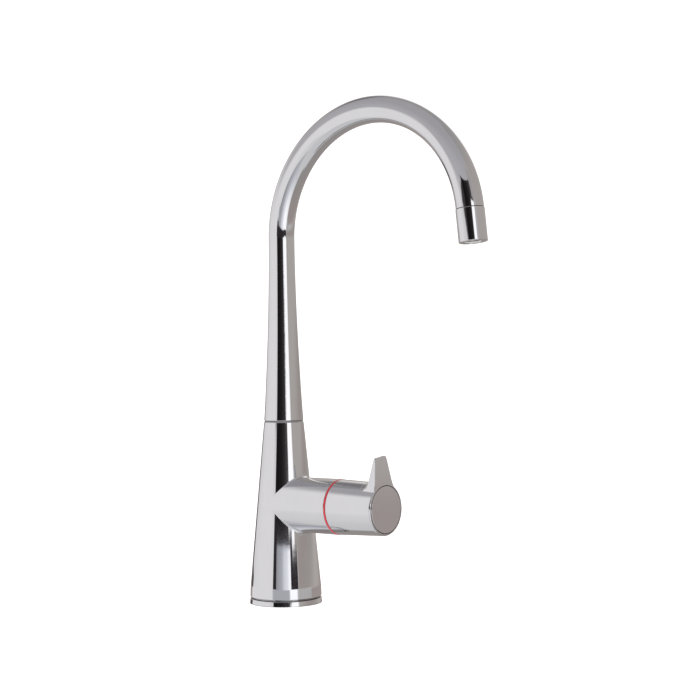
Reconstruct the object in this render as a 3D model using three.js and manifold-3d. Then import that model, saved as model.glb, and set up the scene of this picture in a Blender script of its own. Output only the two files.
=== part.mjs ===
// A boiling water tap: a conical body with a front valve arm, a lever handle on a quarter-turn ceramic
// valve, and a swan-neck spout that swivels on the body. Millimetres, +Z up.
// The origin is the centre of the base, on the worktop. The arm and the spout point to the front, -Y.
import * as THREE from "three";
import { mergeVertices } from "three/addons/utils/BufferGeometryUtils.js";
import Module from "manifold-3d";

const wasm = await Module();
wasm.setup();

// ---------------------------------------------------------------- driving dimensions

const FIT = 0.3; // clearance between two pieces that sit together
const RUN = 0.3; // clearance between two pieces that turn on each other
const OVERRUN = 1; // how far a cut runs past the face it opens, and a joined piece into its neighbour
const O_RING_THICKNESS = 1.8;
const WASHER_THICKNESS = 1.4;

// base
const BASE_RADIUS = 25.1;
const BASE_RING_HEIGHT = 3.5;
const BASE_RING_EDGE = 0.3;
const BASE_BORE_RADIUS = 16.5;
const BASE_COLLAR_HEIGHT = 4; // of the collar that centres the body
const SHADOW_GROOVE_HEIGHT = 1.3; // the dark line between base ring and body
const SHADOW_GROOVE_DEPTH = 0.9;
const GASKET_MARGIN = 1.6; // from the ring's bore to the gasket's groove
const GASKET_WIDTH = 5;
const GASKET_HEIGHT = 1.6;

// body
const BODY_TOP = 124.5;
const BODY_TOP_CHAMFER = 0.4;
const BODY_WALL = 3.2;
const WEB_BOTTOM = 38; // underside of the solid web that the ports are drilled in
const CHANNEL_RADIUS = 3.2;
const STUD_HOLE_RADIUS = 3.4;
const STUD_HOLE_OFFSET = 13.2; // behind the body's axis
const STUD_HOLE_DEPTH = 14;
const STUD_BOSS_WALL = 1.4;
const STUD_BOSS_HEIGHT = 1;

// inlet connector, in the web
const INLET_THREAD_RADIUS = 6;
const INLET_THREAD_LENGTH = 10;
const INLET_HEX_WIDTH = 15; // across the flats
const INLET_HEX_HEIGHT = 5;
const INLET_TAIL_RADIUS = 5;
const INLET_TAIL_LENGTH = 16;
const INLET_BORE_RADIUS = 3.2;

// swivel joint
const SEAM_HEIGHT = 1.6; // from the body's top to the spout's foot
const SEAM_DEPTH = 0.45; // how far the bearing ring sits back from the surface
const POST_SOCKET_DEPTH = 24;
const POST_SHOULDER = 0.5; // step from the post's running part to its seat in the body
const POST_HEIGHT = 34; // above the body
const POST_WALL = 3.9;
const BUSH_WALL = 1.4;
const BUSH_ROOF = 2.4;
const STOP_HEIGHT_ABOVE_SEAM = 6;
const STOP_SCREW_RADIUS = 2.4;
const STOP_SCREW_KEY = 2.4; // across the flats
const STOP_SCREW_KEY_DEPTH = 1.6;
const STOP_SCREW_SINK = 0.6; // below the foot's surface
const STOP_TIP_RADIUS = 1.4;
const STOP_TIP_LENGTH = 1.5;
const SWIVEL_TRAVEL = 90; // degrees to each side
const SEAL_SPACING = 7;
const UPPER_BEARING_LENGTH = 4;
const UPPER_BEARING_DEPTH = 1.2;

// spout
const FOOT_RADIUS = 13.65;
const TUBE_RADIUS = 9;
const TUBE_WALL = 1.2;
const NECK_FLARE = 1.82; // exponent of the flare from tube to foot
const ARCH_START = 252; // height where the neck turns into the arch
const ARCH_RADIUS = 80;
const ARCH_SWEEP = 174; // degrees
const HOSE_WALL = 1.5;
const HOSE_CLEARANCE = 0.8; // round the hose's clips, inside the tube
const BARB_LENGTH = 9;
const BARB_WALL = 1.1;
const CLIP_WIDTH = 5;
const CLIP_THICKNESS = 0.8;

// outlet
const NOZZLE_LENGTH = 21.6;
const NOZZLE_STEP = 0.25; // how far the nozzle stands out from the tube
const NOZZLE_WALL = 1.8;
const NOZZLE_EDGE = 0.4;
const NOZZLE_SEAM = 0.35; // the fine line between tube and nozzle
const NOZZLE_LIP_WIDTH = 0.9;
const NOZZLE_LIP_HEIGHT = 1.5;
const OUTLET_PLUG_LENGTH = 9; // how far the outlet fitting reaches up the tube
const OUTLET_SPIGOT_LENGTH = 11; // how far it reaches down the nozzle
const NOZZLE_SEAL_MARGIN = 2.5; // from the spigot's end to its seal
const STRAIGHTENER_HEIGHT = 5;
const STRAIGHTENER_HOLE_RADIUS = 0.95;
const STRAIGHTENER_PITCH = 2.5;
const NOZZLE_WASHER_WIDTH = 1.7;

// valve arm
const ARM_HEIGHT = 68.1; // height of the arm's axis
const ARM_STEP = 0.325; // how far the arm's sides sit in from the body's at the arm's height
const ARM_LENGTH = 50.9; // from the body's axis to the arm's end
const ARM_WALL = 3.5;
const ARM_FILLET = 1.6; // radius of the fillet between arm and body
const HEAT_RING_WIDTH = 1.3;
const HEAT_RING_INSET = 0.15;
const HEAT_RING_LIP = 2.4;
const HEAT_RING_COLLAR = 4; // length of the collar that the handle turns on
const HEAT_RING_WALL = 2;

// valve cartridge, along the arm
const SEAT_DEPTH = 9; // from the body's axis to the cartridge's seat
const SEAT_SEAL_THICKNESS = 1;
const SEAT_SEAL_MARGIN = 1; // from the seal's edge to the cartridge's
const SEAT_RIM_WIDTH = 4;
const SEAT_RIM_HEIGHT = 1.2;
const CARTRIDGE_FLANGE_HEIGHT = 3;
const CARTRIDGE_SHOULDER = 2.6; // width of the flange beyond the cartridge's barrel
const CARTRIDGE_WALL = 2.8;
const WINDOW_WIDTH = 8;
const DISC_THICKNESS = 3;
const DISC_RIM = 2.3; // round the ports
const PORT_HUB_RADIUS = 1.8;
const PORT_SPAN = 80; // degrees
const VALVE_TRAVEL = 90; // degrees from closed to open
const STOP_RIB_HALF_ANGLE = 14; // degrees
const STOP_RIB_ROOT = 0.5; // how far the rib runs into the housing's wall
const STOP_SLACK = 3; // degrees
const SPINDLE_RADIUS = 4;
const SPINDLE_HEAD_LENGTH = 4;
const SPINDLE_TONGUE_WIDTH = 2.2;
const SPINDLE_TONGUE_LENGTH = 10;
const SPINDLE_TONGUE_DEPTH = 0.9;
const SPINDLE_SEAL_SETBACK = 5;
const SPINDLE_CLIP_THICKNESS = 1.2;
const SPINDLE_CLIP_WIDTH = 2.6;
const SPINDLE_CLIP_DEPTH = 0.7;
const SPINDLE_CLIP_GAP = 50; // degrees
const SPLINE_TEETH = 20;
const SPLINE_DEPTH = 0.4;
const SPLINE_LENGTH = 9;
const GLAND_HEIGHT = 6;
const GLAND_NOTCH_WIDTH = 3.6;
const GLAND_NOTCH_DEPTH = 2.4;

// handle, along the arm
const HANDLE_LENGTH = 37;
const HANDLE_TAPER = 1.45; // how much narrower the handle's front is than the arm
const HANDLE_BACK_STEP = 0.2; // how far the handle's back sits in from the arm's surface
const HANDLE_LEAN = 8.5; // degrees off the vertical, anticlockwise seen from the front
const HANDLE_EDGE = 1.2; // chamfer round the front
const HANDLE_WALL = 2.6;
const HUB_SETBACK = 3;
const HUB_WALL = 2.2;
const HUB_DEPTH = 13; // from the handle's back to the web that the screw pulls on
const HUB_WEB = 3.6;
const ADAPTER_WALL = 2.1;
const ADAPTER_SETBACK = 1; // from the start of the spline
const SCREW_RADIUS = 2;
const SCREW_REACH = 10; // into the spindle
const SCREW_HEAD_RADIUS = 3.6;
const SCREW_HEAD_HEIGHT = 3;
const SCREW_KEY = 3; // across the flats
const SCREW_KEY_DEPTH = 2;
const LEVER_REACH = 35.3; // from the arm's axis to the lever's tip
const LEVER_TIP_HALF_WIDTH = 5.8;
const LEVER_TAPER = 0.19; // gain in half width per millimetre towards the axis
const LEVER_TIP_THICKNESS = 1.5;
const LEVER_ROOT_THICKNESS = 5.8;
const LEVER_ROOT_HEIGHT = 4; // above the handle's rim, where the back starts to curve down
const LEVER_HEEL = 7; // length of that curve along the handle
const LEVER_HEEL_LAG = 1; // how late the curve turns up
const LEVER_CORNER = 2.2;
const LEVER_BLEND_ANGLE = 38; // degrees up the rim to where the lever's sides grow out of it
const LEVER_BLEND_HEIGHT = 3.2; // above the rim, where the sides run straight
const CAP_RIM = 1.45; // of the handle round the cap
const CAP_THICKNESS = 2.2;
const CAP_PROUD = 0.2;
const CAP_EDGE = 0.3;
const CAP_LEDGE = 2.1; // width that the cap rests on
const CAP_SKIRT_WALL = 1.8;
const CAP_SKIRT_DEPTH = 4;
const CAP_RING_THICKNESS = 1;

// facets round a circle, and steps along a curve
const FINE = 28;
const SPOUT_FACETS = 22;
const MEDIUM = 18;
const COARSE = 12;
const HOLE_FACETS = 5;
const O_RING_SIDES = 5;
const SECTOR_STEP = 15; // degrees
const FILLET_STEPS = 32;
const FILLET_ARC_STEPS = 3;
const NECK_STEPS = 10;
const ARCH_STEPS = 24;
const BORE_NECK_STEPS = 6;
const BORE_ARCH_STEPS = 14;
const HOSE_STEPS = 22;
const BUSH_STEPS = 3;
const LEVER_OUTLINE_STEPS = 5;
const LEVER_PROFILE_STEPS = 6;

// ---------------------------------------------------------------- derived sizes

const degrees = THREE.MathUtils.degToRad;
const BACKWARD = 90; // degrees from +X, seen from above
const DOWNWARD = -90; // degrees from +X, seen from the front
const BODY_BOTTOM = BASE_RING_HEIGHT + SHADOW_GROOVE_HEIGHT;
const SPOUT_BOTTOM = BODY_TOP + SEAM_HEIGHT;
const CONE_SLOPE = (BASE_RADIUS - FOOT_RADIUS) / (SPOUT_BOTTOM - BODY_BOTTOM);
const CONE_ANGLE = Math.atan(CONE_SLOPE);
const bodyRadius = (z) => BASE_RADIUS - CONE_SLOPE * (z - BODY_BOTTOM);
const neckRadius = (z) => {
  const share = (ARCH_START - z) / (ARCH_START - SPOUT_BOTTOM);
  return TUBE_RADIUS + (FOOT_RADIUS - TUBE_RADIUS) * Math.max(share, 0) ** NECK_FLARE;
};
const TUBE_BORE_RADIUS = TUBE_RADIUS - TUBE_WALL;
const GROOVE_DEPTH = O_RING_THICKNESS - FIT; // of the groove that an O-ring sits in
const GROOVE_LENGTH = O_RING_THICKNESS + 2 * FIT;

// swivel joint, in heights
const POST_TOP = BODY_TOP + POST_HEIGHT;
const BUSH_BORE_RADIUS = neckRadius(POST_TOP) - TUBE_WALL - FIT - BUSH_WALL;
const POST_RADIUS = BUSH_BORE_RADIUS - RUN;
const POST_BORE_RADIUS = POST_RADIUS - POST_WALL;
const POST_SEAT_RADIUS = POST_RADIUS + POST_SHOULDER;
const SOCKET_RADIUS = POST_SEAT_RADIUS + FIT;
const SOCKET_BOTTOM = BODY_TOP - POST_SOCKET_DEPTH;
const POST_BOTTOM = SOCKET_BOTTOM + WASHER_THICKNESS;
const STOP_HEIGHT = SPOUT_BOTTOM + STOP_HEIGHT_ABOVE_SEAM;
const LOWER_SEAL_HEIGHT = STOP_HEIGHT + SEAL_SPACING;
const UPPER_SEAL_HEIGHT = LOWER_SEAL_HEIGHT + SEAL_SPACING;
const UPPER_BEARING_HEIGHT = UPPER_SEAL_HEIGHT + SEAL_SPACING;
const BUSH_CEILING = POST_TOP + 2 * RUN;
const BUSH_TOP = BUSH_CEILING + BUSH_ROOF;
const HOSE_RADIUS = TUBE_BORE_RADIUS - HOSE_CLEARANCE - CLIP_THICKNESS - FIT;
const HOSE_BORE_RADIUS = HOSE_RADIUS - HOSE_WALL;
const BARB_RADIUS = HOSE_BORE_RADIUS - FIT;
const BARB_BORE_RADIUS = BARB_RADIUS - BARB_WALL;
const HOSE_BOTTOM = BUSH_TOP + FIT;

// outlet
const NOZZLE_RADIUS = TUBE_RADIUS + NOZZLE_STEP;
const NOZZLE_BORE_RADIUS = NOZZLE_RADIUS - NOZZLE_WALL;
const NOZZLE_MOUTH_RADIUS = NOZZLE_BORE_RADIUS - NOZZLE_LIP_WIDTH;
const SPIGOT_RADIUS = NOZZLE_BORE_RADIUS - FIT;

// valve, in distances along the arm from the body's axis
const ARM_RADIUS = bodyRadius(ARM_HEIGHT) - ARM_STEP;
const ARM_BORE_RADIUS = ARM_RADIUS - ARM_WALL;
const HEAT_RING_END = ARM_LENGTH + HEAT_RING_WIDTH;
const GLAND_END = ARM_LENGTH - HEAT_RING_LIP - FIT;
const GLAND_START = GLAND_END - GLAND_HEIGHT;
const CARTRIDGE_START = SEAT_DEPTH + SEAT_SEAL_THICKNESS;
const CARTRIDGE_END = GLAND_START - FIT;
const FLANGE_START = CARTRIDGE_END - CARTRIDGE_FLANGE_HEIGHT;
const FLANGE_RADIUS = ARM_BORE_RADIUS - FIT;
const CARTRIDGE_RADIUS = FLANGE_RADIUS - CARTRIDGE_SHOULDER;
const CHAMBER_RADIUS = CARTRIDGE_RADIUS + FIT;
const CARTRIDGE_BORE_RADIUS = CARTRIDGE_RADIUS - CARTRIDGE_WALL;
const DISC_START = CARTRIDGE_START + SEAT_RIM_HEIGHT;
const MOVING_DISC_START = DISC_START + DISC_THICKNESS + FIT;
const HEAD_START = MOVING_DISC_START + DISC_THICKNESS + FIT;
const HEAD_END = HEAD_START + SPINDLE_HEAD_LENGTH;
const DISC_RADIUS = CARTRIDGE_BORE_RADIUS - RUN;
const PORT_RADIUS = DISC_RADIUS - DISC_RIM;
const RIB_INNER_RADIUS = (SPINDLE_RADIUS + CARTRIDGE_BORE_RADIUS) / 2;
const SPINDLE_BORE_RADIUS = SPINDLE_RADIUS + RUN;
const SPINDLE_SEAL_START = HEAD_END + SPINDLE_SEAL_SETBACK;
const SPINDLE_CLIP_START = CARTRIDGE_END + 2 * FIT;
const CLIP_OUTER_RADIUS = SPINDLE_RADIUS - SPINDLE_CLIP_DEPTH + SPINDLE_CLIP_WIDTH;

// handle, in distances along the arm from the body's axis
const HANDLE_START = HEAT_RING_END + RUN;
const HANDLE_END = HANDLE_START + HANDLE_LENGTH;
const HANDLE_BACK_RADIUS = ARM_RADIUS - HANDLE_BACK_STEP;
const HANDLE_FRONT_RADIUS = ARM_RADIUS - HANDLE_TAPER;
const HANDLE_BORE_RADIUS = HANDLE_FRONT_RADIUS - HANDLE_WALL;
const RIM_RADIUS = HANDLE_FRONT_RADIUS - HANDLE_EDGE;
const WEB_START = HANDLE_START + HUB_DEPTH;
const WEB_END = WEB_START + HUB_WEB;
const SPINDLE_END = WEB_START - 2 * FIT;
const SPLINE_START = SPINDLE_END - SPLINE_LENGTH;
const SCREW_END = SPINDLE_END - SCREW_REACH;
const ADAPTER_RADIUS = SPINDLE_RADIUS + FIT + ADAPTER_WALL;
const HUB_RADIUS = ADAPTER_RADIUS + FIT + HUB_WALL;
const CAP_RADIUS = HANDLE_FRONT_RADIUS - CAP_RIM - FIT;
const CAP_END = HANDLE_END + CAP_PROUD;
const CAP_START = CAP_END - CAP_THICKNESS;
const SKIRT_RADIUS = CAP_RADIUS - CAP_LEDGE;
const SKIRT_START = CAP_START - CAP_SKIRT_DEPTH;

// ---------------------------------------------------------------- solids

// A closed geometry as a solid that can be joined and cut.
function solid(geometry) {
  const bare = geometry.clone();
  bare.deleteAttribute("normal");
  bare.deleteAttribute("uv");
  const merged = mergeVertices(bare, 1e-4);
  return new wasm.Manifold(
    new wasm.Mesh({
      numProp: 3,
      vertProperties: merged.attributes.position.array,
      triVerts: new Uint32Array(merged.index.array),
    }),
  );
}

function meshGeometry(position, index) {
  const geometry = new THREE.BufferGeometry();
  geometry.setAttribute("position", new THREE.Float32BufferAttribute(position, 3));
  return geometry.setIndex(index);
}

// Turns a closed outline of [radius, height] points round the Z axis. The outline runs anticlockwise,
// with the radius to the right and the height up.
function revolve(outline, facets = MEDIUM) {
  const points = [...outline, outline[0]].map(([radius, height]) => new THREE.Vector2(radius, height));
  return solid(new THREE.LatheGeometry(points, facets).rotateX(Math.PI / 2));
}

function ring(inner, outer, bottom, top, facets = MEDIUM) {
  return revolve([[inner, bottom], [outer, bottom], [outer, top], [inner, top]], facets);
}

function rod(radius, bottom, top, facets = MEDIUM) {
  return ring(0, radius, bottom, top, facets);
}

// An O-ring lying in a groove whose floor has the given radius, on the outside of a piece.
function sealingRing(floorRadius, height, thickness = O_RING_THICKNESS - FIT) {
  const middle = floorRadius + (FIT + thickness) / 2;
  const outline = [];
  for (let i = 0; i < O_RING_SIDES; i++) {
    const angle = (2 * Math.PI * (i + 0.5)) / O_RING_SIDES;
    outline.push([middle + (thickness / 2) * Math.cos(angle), height + (thickness / 2) * Math.sin(angle)]);
  }
  return revolve(outline);
}

function grooveFor(pieceRadius, height) {
  const half = GROOVE_LENGTH / 2;
  return ring(pieceRadius - GROOVE_DEPTH, pieceRadius + OVERRUN, height - half, height + half);
}

function extrude(points, bottom, top) {
  const outline = new THREE.Shape(points.map(([x, y]) => new THREE.Vector2(x, y)));
  const made = new THREE.ExtrudeGeometry(outline, { depth: top - bottom, bevelEnabled: false });
  return solid(made.translate(0, 0, bottom));
}

function bar(width, depth, bottom, top) {
  return solid(new THREE.BoxGeometry(width, depth, top - bottom).translate(0, 0, (top + bottom) / 2));
}

// A wedge of a cylinder between two angles in degrees, anticlockwise from +X.
function sector(radius, from, to, bottom, top) {
  const steps = Math.ceil((to - from) / SECTOR_STEP);
  const points = [[0, 0]];
  for (let i = 0; i <= steps; i++) {
    const angle = degrees(from + ((to - from) * i) / steps);
    points.push([radius * Math.cos(angle), radius * Math.sin(angle)]);
  }
  return extrude(points, bottom, top);
}

// A hexagonal rod with two of its flats facing along Y.
function hexagon(acrossFlats, bottom, top) {
  const sides = 6;
  const corner = acrossFlats / 2 / Math.cos(Math.PI / sides);
  return rod(corner, bottom, top, sides).rotate([0, 0, 180 / sides]);
}

const UP = new THREE.Vector3(0, 0, 1);

// A straight rod from one point to another.
function rodBetween(start, end, radius) {
  const along = new THREE.Vector3().subVectors(end, start);
  const turn = new THREE.Quaternion().setFromUnitVectors(UP, along.clone().normalize());
  const made = new THREE.CylinderGeometry(radius, radius, along.length(), COARSE).rotateX(Math.PI / 2);
  made.translate(0, 0, along.length() / 2).applyQuaternion(turn).translate(start.x, start.y, start.z);
  return solid(made);
}

// A round bar of changing radius through stations of { centre, tangent, radius } that lie in the YZ plane.
function loft(stations, facets) {
  const across = new THREE.Vector3(1, 0, 0);
  const position = [];
  const index = [];
  for (const { centre, tangent, radius } of stations) {
    const up = new THREE.Vector3().crossVectors(tangent, across);
    for (let i = 0; i < facets; i++) {
      const angle = (2 * Math.PI * i) / facets;
      const point = centre.clone().addScaledVector(across, radius * Math.cos(angle));
      point.addScaledVector(up, radius * Math.sin(angle));
      position.push(point.x, point.y, point.z);
    }
  }
  for (let s = 0; s + 1 < stations.length; s++) {
    for (let i = 0; i < facets; i++) {
      const a = s * facets + i;
      const b = s * facets + ((i + 1) % facets);
      index.push(a, b, b + facets, a, b + facets, a + facets);
    }
  }
  const last = (stations.length - 1) * facets;
  for (let i = 1; i + 1 < facets; i++) {
    index.push(0, i + 1, i);
    index.push(last, last + i, last + i + 1);
  }
  return solid(meshGeometry(position, index));
}

// ---------------------------------------------------------------- finishes

function finish(color, roughness, metalness) {
  return new THREE.MeshStandardMaterial({ color, roughness, metalness });
}
const chrome = finish(0xd4d4d6, 0.05, 1);
const brass = finish(0xb59a5b, 0.35, 1);
const steel = finish(0xa9abad, 0.3, 1);
const ceramic = finish(0xf0ede6, 0.25, 0);
const rubber = finish(0x1b1b1c, 0.8, 0);
const redPlastic = finish(0xd2202e, 0.35, 0);
const greyPlastic = finish(0x8c8c90, 0.45, 0);
const whitePlastic = finish(0xe6e4de, 0.4, 0);
const silicone = finish(0xe8e3d8, 0.6, 0);

const tap = new THREE.Group();

function add(parent, name, shape, material) {
  const { vertProperties, triVerts } = shape.getMesh();
  const geometry = meshGeometry(vertProperties, new THREE.BufferAttribute(triVerts, 1));
  const mesh = new THREE.Mesh(geometry, material);
  mesh.name = name;
  parent.add(mesh);
  return mesh;
}

// ---------------------------------------------------------------- base

// The ring's underside holds the gasket in a groove, and its collar centres the body.
const GASKET_INNER = BASE_BORE_RADIUS + GASKET_MARGIN;
function baseRing() {
  const collar = bodyRadius(BODY_BOTTOM) - BODY_WALL - FIT;
  return revolve(
    [
      [BASE_BORE_RADIUS, 0],
      [BASE_RADIUS, 0],
      [BASE_RADIUS, BASE_RING_HEIGHT - BASE_RING_EDGE],
      [BASE_RADIUS - BASE_RING_EDGE, BASE_RING_HEIGHT],
      [BASE_RADIUS - SHADOW_GROOVE_DEPTH, BASE_RING_HEIGHT],
      [BASE_RADIUS - SHADOW_GROOVE_DEPTH, BODY_BOTTOM],
      [collar, BODY_BOTTOM],
      [collar - CONE_SLOPE * BASE_COLLAR_HEIGHT, BODY_BOTTOM + BASE_COLLAR_HEIGHT],
      [BASE_BORE_RADIUS, BODY_BOTTOM + BASE_COLLAR_HEIGHT],
    ],
    FINE,
  ).subtract(ring(GASKET_INNER, GASKET_INNER + GASKET_WIDTH, -OVERRUN, GASKET_HEIGHT, FINE));
}
add(tap, "base_ring", baseRing(), chrome);

const baseGasket = ring(GASKET_INNER + FIT, GASKET_INNER + GASKET_WIDTH - FIT, 0, GASKET_HEIGHT, FINE);
add(tap, "base_gasket", baseGasket, rubber);

// ---------------------------------------------------------------- body

// The arm's own frame: +Z runs out along the arm, +Y is up and +X is the tap's +X.
const arm = new THREE.Group();
arm.position.z = ARM_HEIGHT;
arm.rotation.x = Math.PI / 2;
tap.add(arm);
const alongArm = (shape) => shape.rotate([90, 0, 0]).translate([0, 0, ARM_HEIGHT]);
const armPoint = (along, height) => new THREE.Vector3(0, -along, ARM_HEIGHT + height);
const axisPoint = (height) => new THREE.Vector3(0, 0, height);

// The fillet where the arm meets the cone is a ball rolled round the joint: its section runs from the line
// where the ball touches the arm to the line where it touches the cone, and closes inside the metal.
function armFillet() {
  const row = FILLET_ARC_STEPS + 2;
  const position = [];
  const index = [];
  for (let i = 0; i < FILLET_STEPS; i++) {
    const angle = (2 * Math.PI * i) / FILLET_STEPS;
    const x = (ARM_RADIUS + ARM_FILLET) * Math.sin(angle);
    const z = ARM_HEIGHT + (ARM_RADIUS + ARM_FILLET) * Math.cos(angle);
    const reach = bodyRadius(z) + ARM_FILLET / Math.cos(CONE_ANGLE);
    const ball = new THREE.Vector3(x, -Math.sqrt(reach * reach - x * x), z);
    const toArm = new THREE.Vector3(-Math.sin(angle), 0, -Math.cos(angle));
    const toCone = new THREE.Vector3(-ball.x, -ball.y, 0).setLength(Math.cos(CONE_ANGLE));
    toCone.z = -Math.sin(CONE_ANGLE);
    for (let j = 0; j <= FILLET_ARC_STEPS; j++) {
      const direction = toArm.clone().lerp(toCone, j / FILLET_ARC_STEPS).normalize();
      position.push(...ball.clone().addScaledVector(direction, ARM_FILLET));
    }
    const inward = toArm.clone().add(toCone);
    position.push(...ball.clone().addScaledVector(inward, 2 * ARM_FILLET));
    const next = ((i + 1) % FILLET_STEPS) * row;
    for (let j = 0; j < row; j++) {
      const a = i * row + j;
      const b = i * row + ((j + 1) % row);
      const c = next + ((j + 1) % row);
      index.push(a, next + j, c, a, c, b);
    }
  }
  return solid(meshGeometry(position, index));
}

// The water comes up the feed to the middle of the seat, leaves the cartridge at its side and goes up the
// riser to the swivel post. The stud hole and the inlet's thread open into the hollow below the web.
function tapBody() {
  const cone = revolve(
    [
      [0, BODY_BOTTOM],
      [bodyRadius(BODY_BOTTOM), BODY_BOTTOM],
      [bodyRadius(BODY_TOP - BODY_TOP_CHAMFER), BODY_TOP - BODY_TOP_CHAMFER],
      [bodyRadius(BODY_TOP) - BODY_TOP_CHAMFER, BODY_TOP],
      [0, BODY_TOP],
    ],
    FINE,
  );
  const hollow = revolve(
    [
      [0, BODY_BOTTOM - OVERRUN],
      [bodyRadius(BODY_BOTTOM - OVERRUN) - BODY_WALL, BODY_BOTTOM - OVERRUN],
      [bodyRadius(WEB_BOTTOM) - BODY_WALL, WEB_BOTTOM],
      [0, WEB_BOTTOM],
    ],
    FINE,
  );
  const bores = revolve([
    [0, SEAT_DEPTH],
    [CHAMBER_RADIUS, SEAT_DEPTH],
    [CHAMBER_RADIUS, FLANGE_START],
    [ARM_BORE_RADIUS, FLANGE_START],
    [ARM_BORE_RADIUS, ARM_LENGTH + OVERRUN],
    [0, ARM_LENGTH + OVERRUN],
  ]);
  const atStud = (shape) => shape.translate([0, STUD_HOLE_OFFSET, 0]);
  const studBossBottom = WEB_BOTTOM - STUD_BOSS_HEIGHT;
  const studBoss = rod(STUD_HOLE_RADIUS + STUD_BOSS_WALL, studBossBottom, WEB_BOTTOM + OVERRUN);
  const studHole = rod(STUD_HOLE_RADIUS, studBossBottom - OVERRUN, WEB_BOTTOM + STUD_HOLE_DEPTH, COARSE);
  const riserStart = armPoint(HEAD_START, CHAMBER_RADIUS - OVERRUN);
  const cuts = [
    alongArm(bores),
    rodBetween(axisPoint(WEB_BOTTOM - OVERRUN), armPoint(0, CHANNEL_RADIUS), CHANNEL_RADIUS),
    rodBetween(armPoint(-CHANNEL_RADIUS, 0), armPoint(SEAT_DEPTH + OVERRUN, 0), CHANNEL_RADIUS),
    rodBetween(riserStart, axisPoint(SOCKET_BOTTOM + OVERRUN), CHANNEL_RADIUS),
    rod(SOCKET_RADIUS, SOCKET_BOTTOM, BODY_TOP + OVERRUN),
    rod(INLET_THREAD_RADIUS + FIT, WEB_BOTTOM - OVERRUN, WEB_BOTTOM + INLET_THREAD_LENGTH, COARSE),
    atStud(studHole),
  ];
  const barrel = alongArm(rod(ARM_RADIUS, 0, ARM_LENGTH, FINE));
  const casting = cone.add(barrel).add(armFillet()).subtract(hollow).add(atStud(studBoss));
  return cuts.reduce((body, cut) => body.subtract(cut), casting);
}
add(tap, "tap_body", tapBody(), chrome);

// The hot feed's connector screws into the web from below. The supply hose goes on its tail.
const WASHER_BOTTOM = WEB_BOTTOM - WASHER_THICKNESS;
function inletConnector() {
  const hexBottom = WASHER_BOTTOM - INLET_HEX_HEIGHT;
  const tailBottom = hexBottom - INLET_TAIL_LENGTH;
  const top = WEB_BOTTOM + INLET_THREAD_LENGTH - FIT;
  return hexagon(INLET_HEX_WIDTH, hexBottom, WASHER_BOTTOM)
    .add(rod(INLET_THREAD_RADIUS, WASHER_BOTTOM - OVERRUN, top, COARSE))
    .add(rod(INLET_TAIL_RADIUS, tailBottom, hexBottom + OVERRUN, COARSE))
    .subtract(rod(INLET_BORE_RADIUS, tailBottom - OVERRUN, top + OVERRUN, COARSE));
}
add(tap, "inlet_connector", inletConnector(), brass);

const inletWasher = ring(INLET_THREAD_RADIUS + FIT, INLET_HEX_WIDTH / 2, WASHER_BOTTOM, WEB_BOTTOM, COARSE);
add(tap, "inlet_washer", inletWasher, rubber);

// ---------------------------------------------------------------- swivel post, fixed in the body

// The stop screw's tip runs in the post's slot, whose ends limit the swivel. Two grooves above it hold
// the seals, and a third the upper bearing ring.
const SLOT_FLOOR_RADIUS = POST_RADIUS - STOP_TIP_LENGTH - RUN;
function swivelPost() {
  const slotHalf = STOP_TIP_RADIUS + RUN;
  const endAngle = THREE.MathUtils.radToDeg(Math.asin(slotHalf / SLOT_FLOOR_RADIUS));
  const from = BACKWARD - SWIVEL_TRAVEL - endAngle;
  const to = BACKWARD + SWIVEL_TRAVEL + endAngle;
  const slotRing = ring(
    SLOT_FLOOR_RADIUS,
    POST_RADIUS + OVERRUN,
    STOP_HEIGHT - slotHalf,
    STOP_HEIGHT + slotHalf,
  );
  const slot = slotRing.intersect(sector(2 * POST_RADIUS, from, to, SPOUT_BOTTOM, LOWER_SEAL_HEIGHT));
  const bearingHalf = UPPER_BEARING_LENGTH / 2 + FIT;
  const bearingGroove = ring(
    POST_RADIUS - UPPER_BEARING_DEPTH,
    POST_RADIUS + OVERRUN,
    UPPER_BEARING_HEIGHT - bearingHalf,
    UPPER_BEARING_HEIGHT + bearingHalf,
  );
  return rod(POST_SEAT_RADIUS, POST_BOTTOM, BODY_TOP)
    .add(rod(POST_RADIUS, BODY_TOP - OVERRUN, POST_TOP))
    .subtract(rod(POST_BORE_RADIUS, POST_BOTTOM - OVERRUN, POST_TOP + OVERRUN, COARSE))
    .subtract(grooveFor(POST_RADIUS, LOWER_SEAL_HEIGHT))
    .subtract(grooveFor(POST_RADIUS, UPPER_SEAL_HEIGHT))
    .subtract(bearingGroove)
    .subtract(slot);
}
add(tap, "swivel_post", swivelPost(), brass);

add(tap, "post_washer", ring(POST_BORE_RADIUS, POST_SEAT_RADIUS, SOCKET_BOTTOM, POST_BOTTOM), rubber);

// The spout's foot stands on this ring, which shows as the fine line between body and spout.
const SEAM_RADIUS = bodyRadius(BODY_TOP) - SEAM_DEPTH;
const lowerBearing = ring(POST_RADIUS + FIT, SEAM_RADIUS, BODY_TOP, SPOUT_BOTTOM - RUN, FINE);
add(tap, "lower_bearing_ring", lowerBearing, greyPlastic);

add(tap, "lower_swivel_o_ring", sealingRing(POST_RADIUS - GROOVE_DEPTH, LOWER_SEAL_HEIGHT), rubber);
add(tap, "upper_swivel_o_ring", sealingRing(POST_RADIUS - GROOVE_DEPTH, UPPER_SEAL_HEIGHT), rubber);

const upperBearing = ring(
  POST_RADIUS - UPPER_BEARING_DEPTH + FIT,
  POST_RADIUS,
  UPPER_BEARING_HEIGHT - UPPER_BEARING_LENGTH / 2,
  UPPER_BEARING_HEIGHT + UPPER_BEARING_LENGTH / 2,
);
add(tap, "upper_bearing_ring", upperBearing, whitePlastic);

// ---------------------------------------------------------------- spout

const spout = new THREE.Group();
tap.add(spout);

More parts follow.
